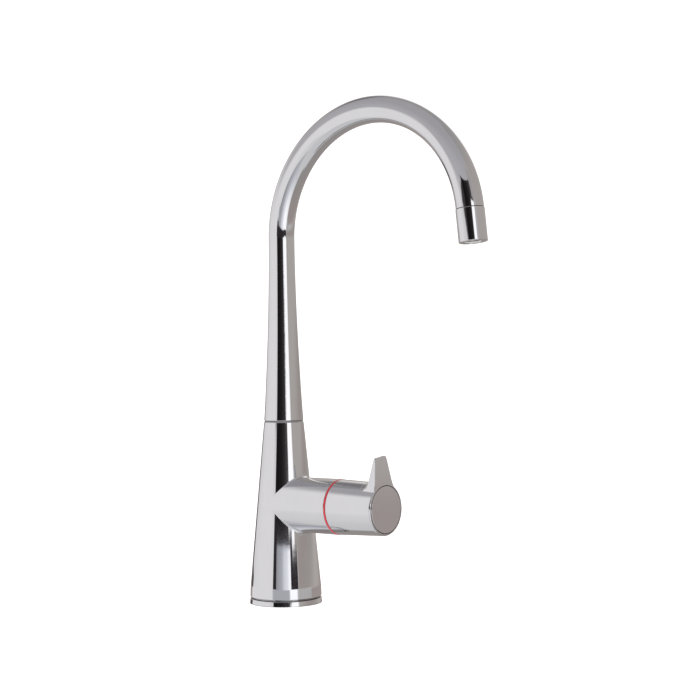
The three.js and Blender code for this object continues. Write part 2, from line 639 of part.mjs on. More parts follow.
// Stations of the spout's centre line: up the neck, round the arch and straight on into the nozzle.
const MM_PER_DEGREE = degrees(ARCH_RADIUS);

function neckStations(bottom, steps, radiusAt) {
  const stations = [];
  for (let i = 0; i < steps; i++) {
    const z = bottom + ((ARCH_START - bottom) * i) / steps;
    stations.push({ centre: axisPoint(z), tangent: UP, radius: radiusAt(z) });
  }
  return stations;
}

function archStation(angle, radius) {
  const turn = degrees(angle);
  const drop = ARCH_RADIUS * (1 - Math.cos(turn));
  return {
    centre: new THREE.Vector3(0, -drop, ARCH_START + ARCH_RADIUS * Math.sin(turn)),
    tangent: new THREE.Vector3(0, -Math.sin(turn), Math.cos(turn)),
    radius,
  };
}

function archStations(sweep, steps, radius) {
  const stations = [];
  for (let i = 0; i <= steps; i++) {
    stations.push(archStation((sweep * i) / steps, radius));
  }
  return stations;
}

// A station at a height above the seam between tube and nozzle, measured along the spout.
function outletStation(height, radius) {
  const station = archStation(ARCH_SWEEP - Math.max(height, 0) / MM_PER_DEGREE, radius);
  station.centre.addScaledVector(station.tangent, Math.max(-height, 0));
  return station;
}

const stopScrewHole = () => {
  const start = new THREE.Vector3(0, POST_RADIUS - OVERRUN, STOP_HEIGHT);
  return rodBetween(start, new THREE.Vector3(0, 2 * FOOT_RADIUS, STOP_HEIGHT), STOP_SCREW_RADIUS + FIT);
};

function spoutNeck() {
  const footBore = (z) => neckRadius(Math.max(z, SPOUT_BOTTOM)) - TUBE_WALL;
  const outer = [
    ...neckStations(SPOUT_BOTTOM, NECK_STEPS, neckRadius),
    ...archStations(ARCH_SWEEP, ARCH_STEPS, TUBE_RADIUS),
  ];
  const bore = [
    ...neckStations(SPOUT_BOTTOM - OVERRUN, BORE_NECK_STEPS, footBore),
    ...archStations(ARCH_SWEEP, BORE_ARCH_STEPS, TUBE_BORE_RADIUS),
    outletStation(-OVERRUN, TUBE_BORE_RADIUS),
  ];
  return loft(outer, SPOUT_FACETS).subtract(loft(bore, COARSE)).subtract(stopScrewHole());
}
add(spout, "spout_neck", spoutNeck(), chrome);

// The bush in the spout's foot turns on the post and carries the hose on its barb.
function spoutFootBush() {
  const bottom = SPOUT_BOTTOM + FIT;
  const outline = [[0, bottom]];
  for (let i = 0; i <= BUSH_STEPS; i++) {
    const z = bottom + ((BUSH_TOP - bottom) * i) / BUSH_STEPS;
    outline.push([neckRadius(z) - TUBE_WALL - 2 * FIT, z]);
  }
  outline.push([BARB_RADIUS, BUSH_TOP], [BARB_RADIUS, BUSH_TOP + BARB_LENGTH], [0, BUSH_TOP + BARB_LENGTH]);
  return revolve(outline)
    .subtract(rod(BUSH_BORE_RADIUS, bottom - OVERRUN, BUSH_CEILING))
    .subtract(rod(BARB_BORE_RADIUS, bottom, BUSH_TOP + BARB_LENGTH + OVERRUN, COARSE))
    .subtract(stopScrewHole());
}
add(spout, "spout_foot_bush", spoutFootBush(), brass);

// The stop screw comes in from the back of the foot. Its key socket faces out.
function stopScrew() {
  const tipStart = POST_RADIUS + RUN;
  const end = neckRadius(STOP_HEIGHT) - STOP_SCREW_SINK;
  return rod(STOP_SCREW_RADIUS, tipStart, end, COARSE)
    .add(rod(STOP_TIP_RADIUS, POST_RADIUS - STOP_TIP_LENGTH, tipStart + OVERRUN, COARSE))
    .subtract(hexagon(STOP_SCREW_KEY, end - STOP_SCREW_KEY_DEPTH, end + OVERRUN));
}
const stopScrewMesh = add(spout, "swivel_stop_screw", stopScrew(), steel);
stopScrewMesh.position.z = STOP_HEIGHT;
stopScrewMesh.rotation.x = -Math.PI / 2;

// The hose keeps the boiling water off the chrome tube. It runs from the foot's barb to the outlet's barb.
function innerHose() {
  const end = OUTLET_PLUG_LENGTH + FIT;
  const sweep = ARCH_SWEEP - end / MM_PER_DEGREE;
  const outer = [
    ...neckStations(HOSE_BOTTOM, 1, () => HOSE_RADIUS),
    ...archStations(sweep, HOSE_STEPS, HOSE_RADIUS),
  ];
  const bore = [
    ...neckStations(HOSE_BOTTOM - OVERRUN, 1, () => HOSE_BORE_RADIUS),
    ...archStations(sweep, HOSE_STEPS, HOSE_BORE_RADIUS),
    outletStation(end - OVERRUN, HOSE_BORE_RADIUS),
  ];
  return loft(outer, COARSE).subtract(loft(bore, COARSE));
}
add(spout, "inner_hose", innerHose(), silicone);

const CLIP_BORE_RADIUS = HOSE_RADIUS + FIT;
const CLIP_RADIUS = CLIP_BORE_RADIUS + CLIP_THICKNESS;
const lowerClipBottom = HOSE_BOTTOM + (BARB_LENGTH - CLIP_WIDTH) / 2;
const lowerClip = ring(CLIP_BORE_RADIUS, CLIP_RADIUS, lowerClipBottom, lowerClipBottom + CLIP_WIDTH, COARSE);
add(spout, "lower_hose_clip", lowerClip, steel);

function upperClip() {
  const bottom = OUTLET_PLUG_LENGTH + (BARB_LENGTH - CLIP_WIDTH) / 2;
  const top = bottom + CLIP_WIDTH;
  const outer = [top, bottom].map((height) => outletStation(height, CLIP_RADIUS));
  const bore = [top + OVERRUN, bottom - OVERRUN].map((height) => outletStation(height, CLIP_BORE_RADIUS));
  return loft(outer, COARSE).subtract(loft(bore, COARSE));
}
add(spout, "upper_hose_clip", upperClip(), steel);

// The fitting follows the tube's bend above the seam, and its spigot carries the nozzle below it.
const PLUG_RADIUS = TUBE_BORE_RADIUS - 2 * FIT;
function outletFitting() {
  const sealTop = NOZZLE_SEAL_HEIGHT + GROOVE_LENGTH / 2;
  const sealBottom = NOZZLE_SEAL_HEIGHT - GROOVE_LENGTH / 2;
  const barbTop = OUTLET_PLUG_LENGTH + BARB_LENGTH;
  const barbMiddle = OUTLET_PLUG_LENGTH + BARB_LENGTH / 2;
  const outer = [
    outletStation(barbTop, BARB_RADIUS),
    outletStation(barbMiddle, BARB_RADIUS),
    outletStation(OUTLET_PLUG_LENGTH, BARB_RADIUS),
    outletStation(OUTLET_PLUG_LENGTH, PLUG_RADIUS),
    outletStation(OUTLET_PLUG_LENGTH / 2, PLUG_RADIUS),
    outletStation(0, PLUG_RADIUS),
    outletStation(0, SPIGOT_RADIUS),
    outletStation(sealTop, SPIGOT_RADIUS),
    outletStation(sealTop, SPIGOT_RADIUS - GROOVE_DEPTH),
    outletStation(sealBottom, SPIGOT_RADIUS - GROOVE_DEPTH),
    outletStation(sealBottom, SPIGOT_RADIUS),
    outletStation(-OUTLET_SPIGOT_LENGTH, SPIGOT_RADIUS),
  ];
  const plugMiddle = OUTLET_PLUG_LENGTH / 2;
  const boreHeights = [barbTop + OVERRUN, barbMiddle, plugMiddle, 0, -OUTLET_SPIGOT_LENGTH - OVERRUN];
  const bore = boreHeights.map((height) => outletStation(height, BARB_BORE_RADIUS));
  return loft(outer, COARSE).subtract(loft(bore, COARSE));
}
const NOZZLE_SEAL_HEIGHT = NOZZLE_SEAL_MARGIN - OUTLET_SPIGOT_LENGTH;
add(spout, "outlet_fitting", outletFitting(), brass);

// The nozzle's own frame: +Z runs up the nozzle from the seam, along its axis.
const nozzle = new THREE.Group();
const seam = outletStation(0, TUBE_RADIUS);
nozzle.position.copy(seam.centre);
nozzle.quaternion.setFromUnitVectors(UP, seam.tangent.clone().negate());
spout.add(nozzle);

add(nozzle, "nozzle_o_ring", sealingRing(SPIGOT_RADIUS - GROOVE_DEPTH, NOZZLE_SEAL_HEIGHT), rubber);

const LIP_TOP = NOZZLE_LIP_HEIGHT - NOZZLE_LENGTH;
const nozzleSleeve = revolve(
  [
    [NOZZLE_BORE_RADIUS, -NOZZLE_SEAM],
    [NOZZLE_BORE_RADIUS, LIP_TOP],
    [NOZZLE_MOUTH_RADIUS, LIP_TOP],
    [NOZZLE_MOUTH_RADIUS, -NOZZLE_LENGTH],
    [NOZZLE_RADIUS - NOZZLE_EDGE, -NOZZLE_LENGTH],
    [NOZZLE_RADIUS, NOZZLE_EDGE - NOZZLE_LENGTH],
    [NOZZLE_RADIUS, -NOZZLE_SEAM - NOZZLE_EDGE],
    [NOZZLE_RADIUS - NOZZLE_EDGE, -NOZZLE_SEAM],
  ],
  FINE,
);
add(nozzle, "nozzle_sleeve", nozzleSleeve, chrome);

// The straightener rests on the nozzle's lip. Its holes lie in rings of six and twelve round a middle one.
const STRAIGHTENER_BOTTOM = LIP_TOP + FIT;
const STRAIGHTENER_TOP = STRAIGHTENER_BOTTOM + STRAIGHTENER_HEIGHT;
function flowStraightener() {
  const [bottom, top] = [STRAIGHTENER_BOTTOM - OVERRUN, STRAIGHTENER_TOP + OVERRUN];
  const hole = rod(STRAIGHTENER_HOLE_RADIUS, bottom, top, HOLE_FACETS);
  let disc = rod(NOZZLE_BORE_RADIUS - FIT, STRAIGHTENER_BOTTOM, STRAIGHTENER_TOP);
  for (const row of [0, 1, 2]) {
    const count = Math.max(6 * row, 1);
    for (let i = 0; i < count; i++) {
      const angle = (2 * Math.PI * i) / count;
      const reach = row * STRAIGHTENER_PITCH;
      disc = disc.subtract(hole.translate([reach * Math.cos(angle), reach * Math.sin(angle), 0]));
    }
  }
  return disc;
}
add(nozzle, "flow_straightener", flowStraightener(), whitePlastic);

const washerInner = NOZZLE_BORE_RADIUS - FIT - NOZZLE_WASHER_WIDTH;
const nozzleWasher = ring(
  washerInner,
  NOZZLE_BORE_RADIUS - FIT,
  STRAIGHTENER_TOP + FIT,
  -OUTLET_SPIGOT_LENGTH - FIT,
);
add(nozzle, "nozzle_washer", nozzleWasher, rubber);

// ---------------------------------------------------------------- valve cartridge, in the arm

const seatSealRadius = CARTRIDGE_RADIUS - SEAT_SEAL_MARGIN;
const seatSeal = ring(CHANNEL_RADIUS + FIT, seatSealRadius, SEAT_DEPTH, CARTRIDGE_START - FIT);
add(arm, "seat_seal", seatSeal, rubber);

// The windows let the water out beside the discs. The rib stops the spindle at both ends of its travel.
const CARTRIDGE_SEAL_MIDDLE = FLANGE_START - GROOVE_LENGTH;
const SPINDLE_SEAL_MIDDLE = SPINDLE_SEAL_START + GROOVE_LENGTH / 2;
function cartridgeHousing() {
  const shell = revolve([
    [CARTRIDGE_RADIUS - SEAT_RIM_WIDTH, CARTRIDGE_START],
    [CARTRIDGE_RADIUS, CARTRIDGE_START],
    [CARTRIDGE_RADIUS, FLANGE_START + FIT],
    [FLANGE_RADIUS, FLANGE_START + FIT],
    [FLANGE_RADIUS, CARTRIDGE_END],
    [SPINDLE_BORE_RADIUS, CARTRIDGE_END],
    [SPINDLE_BORE_RADIUS, HEAD_END + FIT],
    [CARTRIDGE_BORE_RADIUS, HEAD_END + FIT],
    [CARTRIDGE_BORE_RADIUS, DISC_START - FIT],
    [CARTRIDGE_RADIUS - SEAT_RIM_WIDTH, DISC_START - FIT],
  ]);
  const sealGroove = rod(
    SPINDLE_RADIUS + O_RING_THICKNESS + FIT,
    SPINDLE_SEAL_START,
    SPINDLE_SEAL_START + GROOVE_LENGTH,
    COARSE,
  );
  const window = bar(4 * CARTRIDGE_RADIUS, WINDOW_WIDTH, HEAD_START, HEAD_END);
  const rib = sector(
    CARTRIDGE_BORE_RADIUS + STOP_RIB_ROOT,
    DOWNWARD - STOP_RIB_HALF_ANGLE,
    DOWNWARD + STOP_RIB_HALF_ANGLE,
    HEAD_START,
    HEAD_END + 2 * FIT,
  ).subtract(rod(RIB_INNER_RADIUS, HEAD_START - OVERRUN, HEAD_END + OVERRUN));
  const outerGroove = grooveFor(CARTRIDGE_RADIUS, CARTRIDGE_SEAL_MIDDLE);
  return shell.subtract(sealGroove).subtract(window).subtract(outerGroove).add(rib);
}
add(arm, "cartridge_housing", cartridgeHousing(), brass);
add(arm, "cartridge_o_ring", sealingRing(CARTRIDGE_RADIUS - GROOVE_DEPTH, CARTRIDGE_SEAL_MIDDLE), rubber);

// Each disc has two ports. They are a quarter turn apart at rest, so the valve is closed.
function ceramicDisc(start, portAngle) {
  const end = start + DISC_THICKNESS;
  let disc = rod(DISC_RADIUS, start, end);
  const hub = rod(PORT_HUB_RADIUS, start - 2 * OVERRUN, end + 2 * OVERRUN, COARSE);
  for (const middle of [portAngle, portAngle + 180]) {
    const [from, to] = [middle - PORT_SPAN / 2, middle + PORT_SPAN / 2];
    const port = sector(PORT_RADIUS, from, to, start - OVERRUN, end + OVERRUN);
    disc = disc.subtract(port.subtract(hub));
  }
  return disc;
}
add(arm, "fixed_ceramic_disc", ceramicDisc(DISC_START, 0), ceramic);

add(arm, "spindle_o_ring", sealingRing(SPINDLE_RADIUS, SPINDLE_SEAL_MIDDLE), rubber);

// The gland nut holds the cartridge down. Four notches in its rim take the spanner.
function glandNut() {
  const inner = CLIP_OUTER_RADIUS + HUB_WALL;
  const outer = ARM_BORE_RADIUS - FIT;
  let nut = ring(inner, outer, GLAND_START, GLAND_END);
  const notches = bar(4 * outer, GLAND_NOTCH_WIDTH, GLAND_END - GLAND_NOTCH_DEPTH, GLAND_END + OVERRUN);
  const kept = ring((inner + outer) / 2, 3 * outer, GLAND_START, GLAND_END + 2 * OVERRUN);
  for (const angle of [0, 90]) {
    nut = nut.subtract(notches.rotate([0, 0, angle]).subtract(kept));
  }
  return nut;
}
add(arm, "gland_nut", glandNut(), brass);

// The red ring marks the tap as a boiling one. Its lip centres it in the arm's bore, and the handle
// turns on its collar.
const COLLAR_RADIUS = HANDLE_BORE_RADIUS - 2 * RUN;
const heatRing = revolve(
  [
    [COLLAR_RADIUS - HEAT_RING_WALL, ARM_LENGTH - HEAT_RING_LIP],
    [ARM_BORE_RADIUS - FIT, ARM_LENGTH - HEAT_RING_LIP],
    [ARM_BORE_RADIUS - FIT, ARM_LENGTH],
    [ARM_RADIUS - HEAT_RING_INSET, ARM_LENGTH],
    [ARM_RADIUS - HEAT_RING_INSET, HEAT_RING_END],
    [COLLAR_RADIUS, HEAT_RING_END],
    [COLLAR_RADIUS, HEAT_RING_END + HEAT_RING_COLLAR],
    [COLLAR_RADIUS - HEAT_RING_WALL, HEAT_RING_END + HEAT_RING_COLLAR],
  ],
  FINE,
);
add(arm, "heat_indicator_ring", heatRing, redPlastic);

// ---------------------------------------------------------------- handle, which turns on the arm's axis

const handle = new THREE.Group();
handle.rotation.z = degrees(HANDLE_LEAN);
arm.add(handle);

// The valve's own pieces stand square to the arm while the handle leans.
const squared = (shape) => shape.rotate([0, 0, -HANDLE_LEAN]);

function movingDisc() {
  const top = MOVING_DISC_START + DISC_THICKNESS;
  const width = SPINDLE_TONGUE_WIDTH + 2 * FIT;
  const length = SPINDLE_TONGUE_LENGTH + 2 * FIT;
  const slot = bar(length, width, top - SPINDLE_TONGUE_DEPTH, top + OVERRUN);
  return ceramicDisc(MOVING_DISC_START, 90).subtract(slot);
}
add(handle, "moving_ceramic_disc", squared(movingDisc()), ceramic);

function splinedRod(radius, bottom, top) {
  const low = radius - SPLINE_DEPTH;
  const points = [];
  for (let i = 0; i < SPLINE_TEETH; i++) {
    for (const [share, reach] of [[0, low], [0.25, radius], [0.5, radius], [0.75, low]]) {
      const angle = (2 * Math.PI * (i + share)) / SPLINE_TEETH;
      points.push([reach * Math.cos(angle), reach * Math.sin(angle)]);
    }
  }
  return extrude(points, bottom, top);
}

// The head's notch leaves the housing's rib room for the valve's travel.
function valveSpindle() {
  const back = DOWNWARD - STOP_RIB_HALF_ANGLE - VALVE_TRAVEL - STOP_SLACK;
  const front = DOWNWARD + STOP_RIB_HALF_ANGLE + STOP_SLACK;
  const notch = sector(2 * CARTRIDGE_RADIUS, back, front, HEAD_START - OVERRUN, HEAD_END + OVERRUN);
  const core = rod(RIB_INNER_RADIUS - RUN, HEAD_START - 2 * OVERRUN, HEAD_END + 2 * OVERRUN);
  const tongueBottom = HEAD_START - SPINDLE_TONGUE_DEPTH;
  const tongue = bar(SPINDLE_TONGUE_LENGTH, SPINDLE_TONGUE_WIDTH, tongueBottom, HEAD_START + OVERRUN);
  const clipFloor = SPINDLE_RADIUS - SPINDLE_CLIP_DEPTH;
  const clipEnd = SPINDLE_CLIP_START + SPINDLE_CLIP_THICKNESS + FIT;
  const clipGroove = ring(clipFloor, SPINDLE_RADIUS + OVERRUN, SPINDLE_CLIP_START - FIT, clipEnd, COARSE);
  const screwHole = rod(SCREW_RADIUS + FIT, SCREW_END - OVERRUN, SPINDLE_END + OVERRUN, COARSE);
  return rod(CARTRIDGE_BORE_RADIUS - RUN, HEAD_START, HEAD_END)
    .subtract(notch.subtract(core))
    .add(tongue)
    .add(rod(SPINDLE_RADIUS, HEAD_END - OVERRUN, SPLINE_START + OVERRUN, COARSE))
    .add(splinedRod(SPINDLE_RADIUS, SPLINE_START, SPINDLE_END))
    .subtract(clipGroove)
    .subtract(screwHole);
}
add(handle, "valve_spindle", squared(valveSpindle()), brass);

// A snap ring in the spindle's groove keeps the spindle in the housing. Its gap faces down.
function spindleClip() {
  const end = SPINDLE_CLIP_START + SPINDLE_CLIP_THICKNESS;
  const inner = SPINDLE_RADIUS - SPINDLE_CLIP_DEPTH + FIT;
  const [from, to] = [DOWNWARD - SPINDLE_CLIP_GAP / 2, DOWNWARD + SPINDLE_CLIP_GAP / 2];
  const gap = sector(3 * SPINDLE_RADIUS, from, to, SPINDLE_CLIP_START - OVERRUN, end + OVERRUN);
  return ring(inner, CLIP_OUTER_RADIUS, SPINDLE_CLIP_START, end, COARSE).subtract(gap);
}
add(handle, "spindle_clip", spindleClip(), steel);

const ADAPTER_START = SPLINE_START + ADAPTER_SETBACK;
const adapterBore = splinedRod(SPINDLE_RADIUS + FIT, ADAPTER_START - OVERRUN, SPINDLE_END + OVERRUN);
const splineAdapter = rod(ADAPTER_RADIUS, ADAPTER_START, SPINDLE_END).subtract(adapterBore);
add(handle, "spline_adapter", squared(splineAdapter), whitePlastic);

// Seen from the front, the lever's sides leave the rim along its tangent, curve up and run together
// towards the tip.
function leverOutline() {
  const half = (height) => LEVER_TIP_HALF_WIDTH + LEVER_TAPER * (LEVER_REACH - height);
  const [sine, cosine] = [Math.sin(degrees(LEVER_BLEND_ANGLE)), Math.cos(degrees(LEVER_BLEND_ANGLE))];
  const blendTop = RIM_RADIUS + LEVER_BLEND_HEIGHT;
  const bend = (RIM_RADIUS - half(0) * cosine) / (sine - LEVER_TAPER * cosine);
  const corner = LEVER_REACH - LEVER_CORNER;
  const cornerX = half(LEVER_REACH) - LEVER_CORNER;
  const shape = new THREE.Shape();
  shape.moveTo(0, 0);
  shape.lineTo(RIM_RADIUS * cosine, RIM_RADIUS * sine);
  shape.quadraticCurveTo(half(bend), bend, half(blendTop), blendTop);
  shape.lineTo(half(corner), corner);
  shape.quadraticCurveTo(half(LEVER_REACH), LEVER_REACH, cornerX, LEVER_REACH);
  shape.lineTo(-cornerX, LEVER_REACH);
  shape.quadraticCurveTo(-half(LEVER_REACH), LEVER_REACH, -half(corner), corner);
  shape.lineTo(-half(blendTop), blendTop);
  shape.quadraticCurveTo(-half(bend), bend, -RIM_RADIUS * cosine, RIM_RADIUS * sine);
  return shape.getPoints(LEVER_OUTLINE_STEPS).map((point) => [point.x, point.y]);
}

// Seen from the side, the lever is thin at its tip and grows down into the handle's barrel.
function leverProfile() {
  const rootStart = HANDLE_END - LEVER_ROOT_THICKNESS;
  const heelStart = rootStart - LEVER_HEEL;
  const tipStart = HANDLE_END - LEVER_TIP_THICKNESS;
  const shape = new THREE.Shape();
  shape.moveTo(0, heelStart);
  shape.lineTo(barrelRadius(heelStart) - FIT, heelStart);
  const rootRadius = HANDLE_FRONT_RADIUS + LEVER_ROOT_HEIGHT;
  shape.quadraticCurveTo(barrelRadius(rootStart), rootStart - LEVER_HEEL_LAG, rootRadius, rootStart);
  shape.lineTo(LEVER_REACH, tipStart);
  shape.lineTo(2 * LEVER_REACH, tipStart);
  shape.lineTo(2 * LEVER_REACH, HANDLE_END);
  shape.lineTo(0, HANDLE_END);
  return shape.getPoints(LEVER_PROFILE_STEPS).map((point) => [point.x, point.y]);
}

function barrelRadius(along) {
  const share = (along - HANDLE_START) / (HANDLE_LENGTH - HANDLE_EDGE);
  return HANDLE_BACK_RADIUS + (HANDLE_FRONT_RADIUS - HANDLE_BACK_RADIUS) * share;
}

// The barrel is hollow behind the web, with a hub that grips the spline adapter, and in front of it under
// the cap.
function leverHandle() {
  const barrel = revolve(
    [
      [0, HANDLE_START],
      [HANDLE_BACK_RADIUS, HANDLE_START],
      [HANDLE_FRONT_RADIUS, HANDLE_END - HANDLE_EDGE],
      [RIM_RADIUS, HANDLE_END],
      [0, HANDLE_END],
    ],
    FINE,
  );
  const fin = extrude(leverOutline(), HANDLE_START, HANDLE_END + OVERRUN);
  const lever = fin.intersect(revolve(leverProfile(), FINE));
  const cuts = [
    rod(CAP_RADIUS + FIT, CAP_START - FIT, HANDLE_END + OVERRUN, FINE),
    rod(SKIRT_RADIUS + FIT, WEB_END, HANDLE_END),
    ring(HUB_RADIUS, HANDLE_BORE_RADIUS, HANDLE_START - OVERRUN, WEB_START),
    rod(HUB_RADIUS + OVERRUN, HANDLE_START - OVERRUN, HANDLE_START + HUB_SETBACK),
    rod(ADAPTER_RADIUS + FIT, HANDLE_START - OVERRUN, WEB_START, COARSE),
    rod(SCREW_RADIUS + FIT, WEB_START - OVERRUN, WEB_END + OVERRUN, COARSE),
  ];
  return cuts.reduce((made, cut) => made.subtract(cut), barrel.add(lever));
}
add(handle, "lever_handle", leverHandle(), chrome);

function handleScrew() {
  const head = WEB_END + FIT;
  const top = head + SCREW_HEAD_HEIGHT;
  return rod(SCREW_RADIUS, SCREW_END, head + OVERRUN, COARSE)
    .add(rod(SCREW_HEAD_RADIUS, head, top, COARSE))
    .subtract(hexagon(SCREW_KEY, top - SCREW_KEY_DEPTH, top + OVERRUN));
}
add(handle, "handle_screw", handleScrew(), steel);

// The cap hides the screw. Its skirt plugs into the handle, and the ring in its groove grips the bore.
const CAP_RING_MIDDLE = CAP_START - CAP_SKIRT_DEPTH / 2;
const capGrooveFloor = SKIRT_RADIUS - CAP_RING_THICKNESS - FIT / 2;
const endCap = revolve(
  [
    [0, CAP_START],
    [SKIRT_RADIUS - CAP_SKIRT_WALL, CAP_START],
    [SKIRT_RADIUS - CAP_SKIRT_WALL, SKIRT_START],
    [SKIRT_RADIUS, SKIRT_START],
    [SKIRT_RADIUS, CAP_RING_MIDDLE - CAP_RING_THICKNESS],
    [capGrooveFloor, CAP_RING_MIDDLE - CAP_RING_THICKNESS],
    [capGrooveFloor, CAP_RING_MIDDLE + CAP_RING_THICKNESS],
    [SKIRT_RADIUS, CAP_RING_MIDDLE + CAP_RING_THICKNESS],
    [SKIRT_RADIUS, CAP_START],
    [CAP_RADIUS, CAP_START],
    [CAP_RADIUS, CAP_END - CAP_EDGE],
    [CAP_RADIUS - CAP_EDGE, CAP_END],
    [0, CAP_END],
  ],
  FINE,
);
add(handle, "end_cap", endCap, chrome);
add(handle, "cap_o_ring", sealingRing(capGrooveFloor, CAP_RING_MIDDLE, CAP_RING_THICKNESS), rubber);

export default tap;
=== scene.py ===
import math

import bmesh
import bpy
from mathutils import Matrix, Vector
from mathutils.kdtree import KDTree


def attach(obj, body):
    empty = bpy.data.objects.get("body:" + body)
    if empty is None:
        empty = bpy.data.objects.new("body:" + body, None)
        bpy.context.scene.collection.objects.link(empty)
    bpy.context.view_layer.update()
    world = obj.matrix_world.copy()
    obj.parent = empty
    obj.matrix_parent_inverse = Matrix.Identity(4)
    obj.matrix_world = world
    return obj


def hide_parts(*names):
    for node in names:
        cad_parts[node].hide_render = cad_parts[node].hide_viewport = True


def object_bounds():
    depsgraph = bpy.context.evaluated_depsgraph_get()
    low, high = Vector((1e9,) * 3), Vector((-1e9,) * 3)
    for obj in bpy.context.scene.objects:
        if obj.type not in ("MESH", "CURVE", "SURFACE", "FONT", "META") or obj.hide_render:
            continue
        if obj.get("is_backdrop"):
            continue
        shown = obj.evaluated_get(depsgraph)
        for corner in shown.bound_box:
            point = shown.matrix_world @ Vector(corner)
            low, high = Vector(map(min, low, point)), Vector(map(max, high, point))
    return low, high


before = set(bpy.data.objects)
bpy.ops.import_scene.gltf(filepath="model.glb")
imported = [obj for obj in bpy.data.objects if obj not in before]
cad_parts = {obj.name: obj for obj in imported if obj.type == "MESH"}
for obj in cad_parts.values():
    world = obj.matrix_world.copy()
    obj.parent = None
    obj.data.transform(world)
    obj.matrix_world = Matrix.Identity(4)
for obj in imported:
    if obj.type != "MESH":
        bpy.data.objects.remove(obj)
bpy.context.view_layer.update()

# ---------------------------------------------------------------- base ring
# A turned brass ring, polished and chromed. It stands on the worktop under the body, and the dark
# line above it is the groove between the two, darkened further by the chrome's painted shade in
# gaps.
MM = 0.001
BASE_RADIUS = 25.1
BASE_HEIGHT = 3.5
BASE_LEAN = math.tan(math.radians(7.5))
BASE_BORE = 16.5
BODY_BOTTOM = 4.8
GROOVE_DEPTH = 2
CLEARANCE = 0.3
BODY_WALL = 3.2
CONE_TOP = 126.1
FOOT_RADIUS = 13.65
CONE_SLOPE = (BASE_RADIUS - FOOT_RADIUS) / (CONE_TOP - BODY_BOTTOM)
GASKET_INNER = 18.1
GASKET_OUTER = 23.1
GASKET_HEIGHT = 1.6
COLLAR_HEIGHT = 4
EDGE = 0.3
FINE_EDGE = 0.2
TURNS = 192
ROUNDING_STEPS = 6
SAME_PLACE = 1e-3


def cone_radius(z):
    return BASE_RADIUS - CONE_SLOPE * (z - BODY_BOTTOM)


def rounded(corners, closed=True):
    """Spans of (radius, height, normal) along an outline of (radius, height, rounding) corners. The
    outline runs anticlockwise, with the radius to the right and the height up."""
    points = [Vector(corner[:2]) for corner in corners]
    roundings = [corner[2] if len(corner) > 2 else 0 for corner in corners]
    count = len(points)
    ways = [(points[(i + 1) % count] - points[i]).normalized() for i in range(count)]
    spans = []
    ends = []
    for i in range(count):
        here, rounding = points[i], roundings[i]
        way_in, way_out = ways[i - 1], ways[i]
        turn = way_in.angle_signed(way_out) if rounding else 0
        cut = rounding * math.tan(abs(turn) / 2)
        arc = []
        if rounding:
            normal_in = Vector((way_in.y, -way_in.x))
            side = 1 if way_in.cross(way_out) > 0 else -1
            centre = here - way_in * cut - normal_in * rounding * side
            normal_out = Vector((way_out.y, -way_out.x))
            for step in range(ROUNDING_STEPS + 1):
                normal = normal_in.slerp(normal_out, step / ROUNDING_STEPS)
                arc.append((*(centre + normal * rounding * side), normal))
        ends.append((here - way_in * cut, arc, here + way_out * cut))
    for i in range(count):
        if ends[i][1]:
            spans.append(ends[i][1])
        if i + 1 < count or closed:
            normal = Vector((ways[i].y, -ways[i].x))
            start, end = ends[i][2], ends[(i + 1) % count][0]
            spans.append([(*start, normal), (*end, normal)])
    return spans


def full_circle(count):
    return [2 * math.pi * i / count for i in range(count)]


def turned(spans, angles):
    """The spans turned round the Z axis: grids of (point, normal), one for each span."""
    grids = []
    for span in spans:
        rows = []
        for radius, height, normal in span:
            row = []
            for angle in angles:
                across, along = math.cos(angle), math.sin(angle)
                point = Vector((radius * across, radius * along, height))
                row.append((point, Vector((normal.x * across, normal.x * along, normal.y))))
            rows.append(row)
        grids.append(rows)
    return grids


def placed(name, data):
    """A new object in the scene that shows a mesh, a light or a camera."""
    made = bpy.data.objects.new(name, data)
    bpy.context.scene.collection.objects.link(made)
    return made


def skin(name, grids, place=Matrix.Identity(4), left_out=()):
    """One mesh from grids of closed rows in millimetres. Rows that meet share their points, and
    each corner keeps its grid's normal, so the polish runs clean up to each edge."""
    corners = [corner for rows in grids for row in rows for corner in row]
    near = KDTree(len(corners))
    for number, (point, _) in enumerate(corners):
        near.insert(point, number)
    near.balance()
    shared = [min(hit[1] for hit in near.find_range(point, SAME_PLACE)) for point, _ in corners]
    numbers, points, faces, normals = {}, [], [], []
    turn = place.to_3x3()
    first = 0
    for number, rows in enumerate(grids):
        count = len(rows[0])
        for r in range(len(rows) - 1):
            for i in range(count):
                if (number, r, i) in left_out:
                    continue
                low, high = first + r * count, first + (r + 1) * count
                j = (i + 1) % count
                face = {shared[k]: corners[k][1] for k in (low + i, low + j, high + j, high + i)}
                if len(face) < 3:
                    continue
                around = list(face)
                a, b, c = (corners[k][0] for k in (around[0], around[1], around[-1]))
                if (b - a).cross(c - a).dot(sum(face.values(), Vector((0, 0, 0)))) < 0:
                    around.reverse()
                for k in around:
                    if k not in numbers:
                        numbers[k] = len(points)
                        points.append(place @ corners[k][0] * MM)
                    normals.append((turn @ face[k]).normalized())
                faces.append([numbers[k] for k in around])
        first += count * len(rows)
    mesh = bpy.data.meshes.new(name)
    mesh.from_pydata(points, [], faces)
    mesh.shade_smooth()
    mesh.normals_split_custom_set(normals)
    mesh.validate(clean_customdata=False)
    return placed(name, mesh)


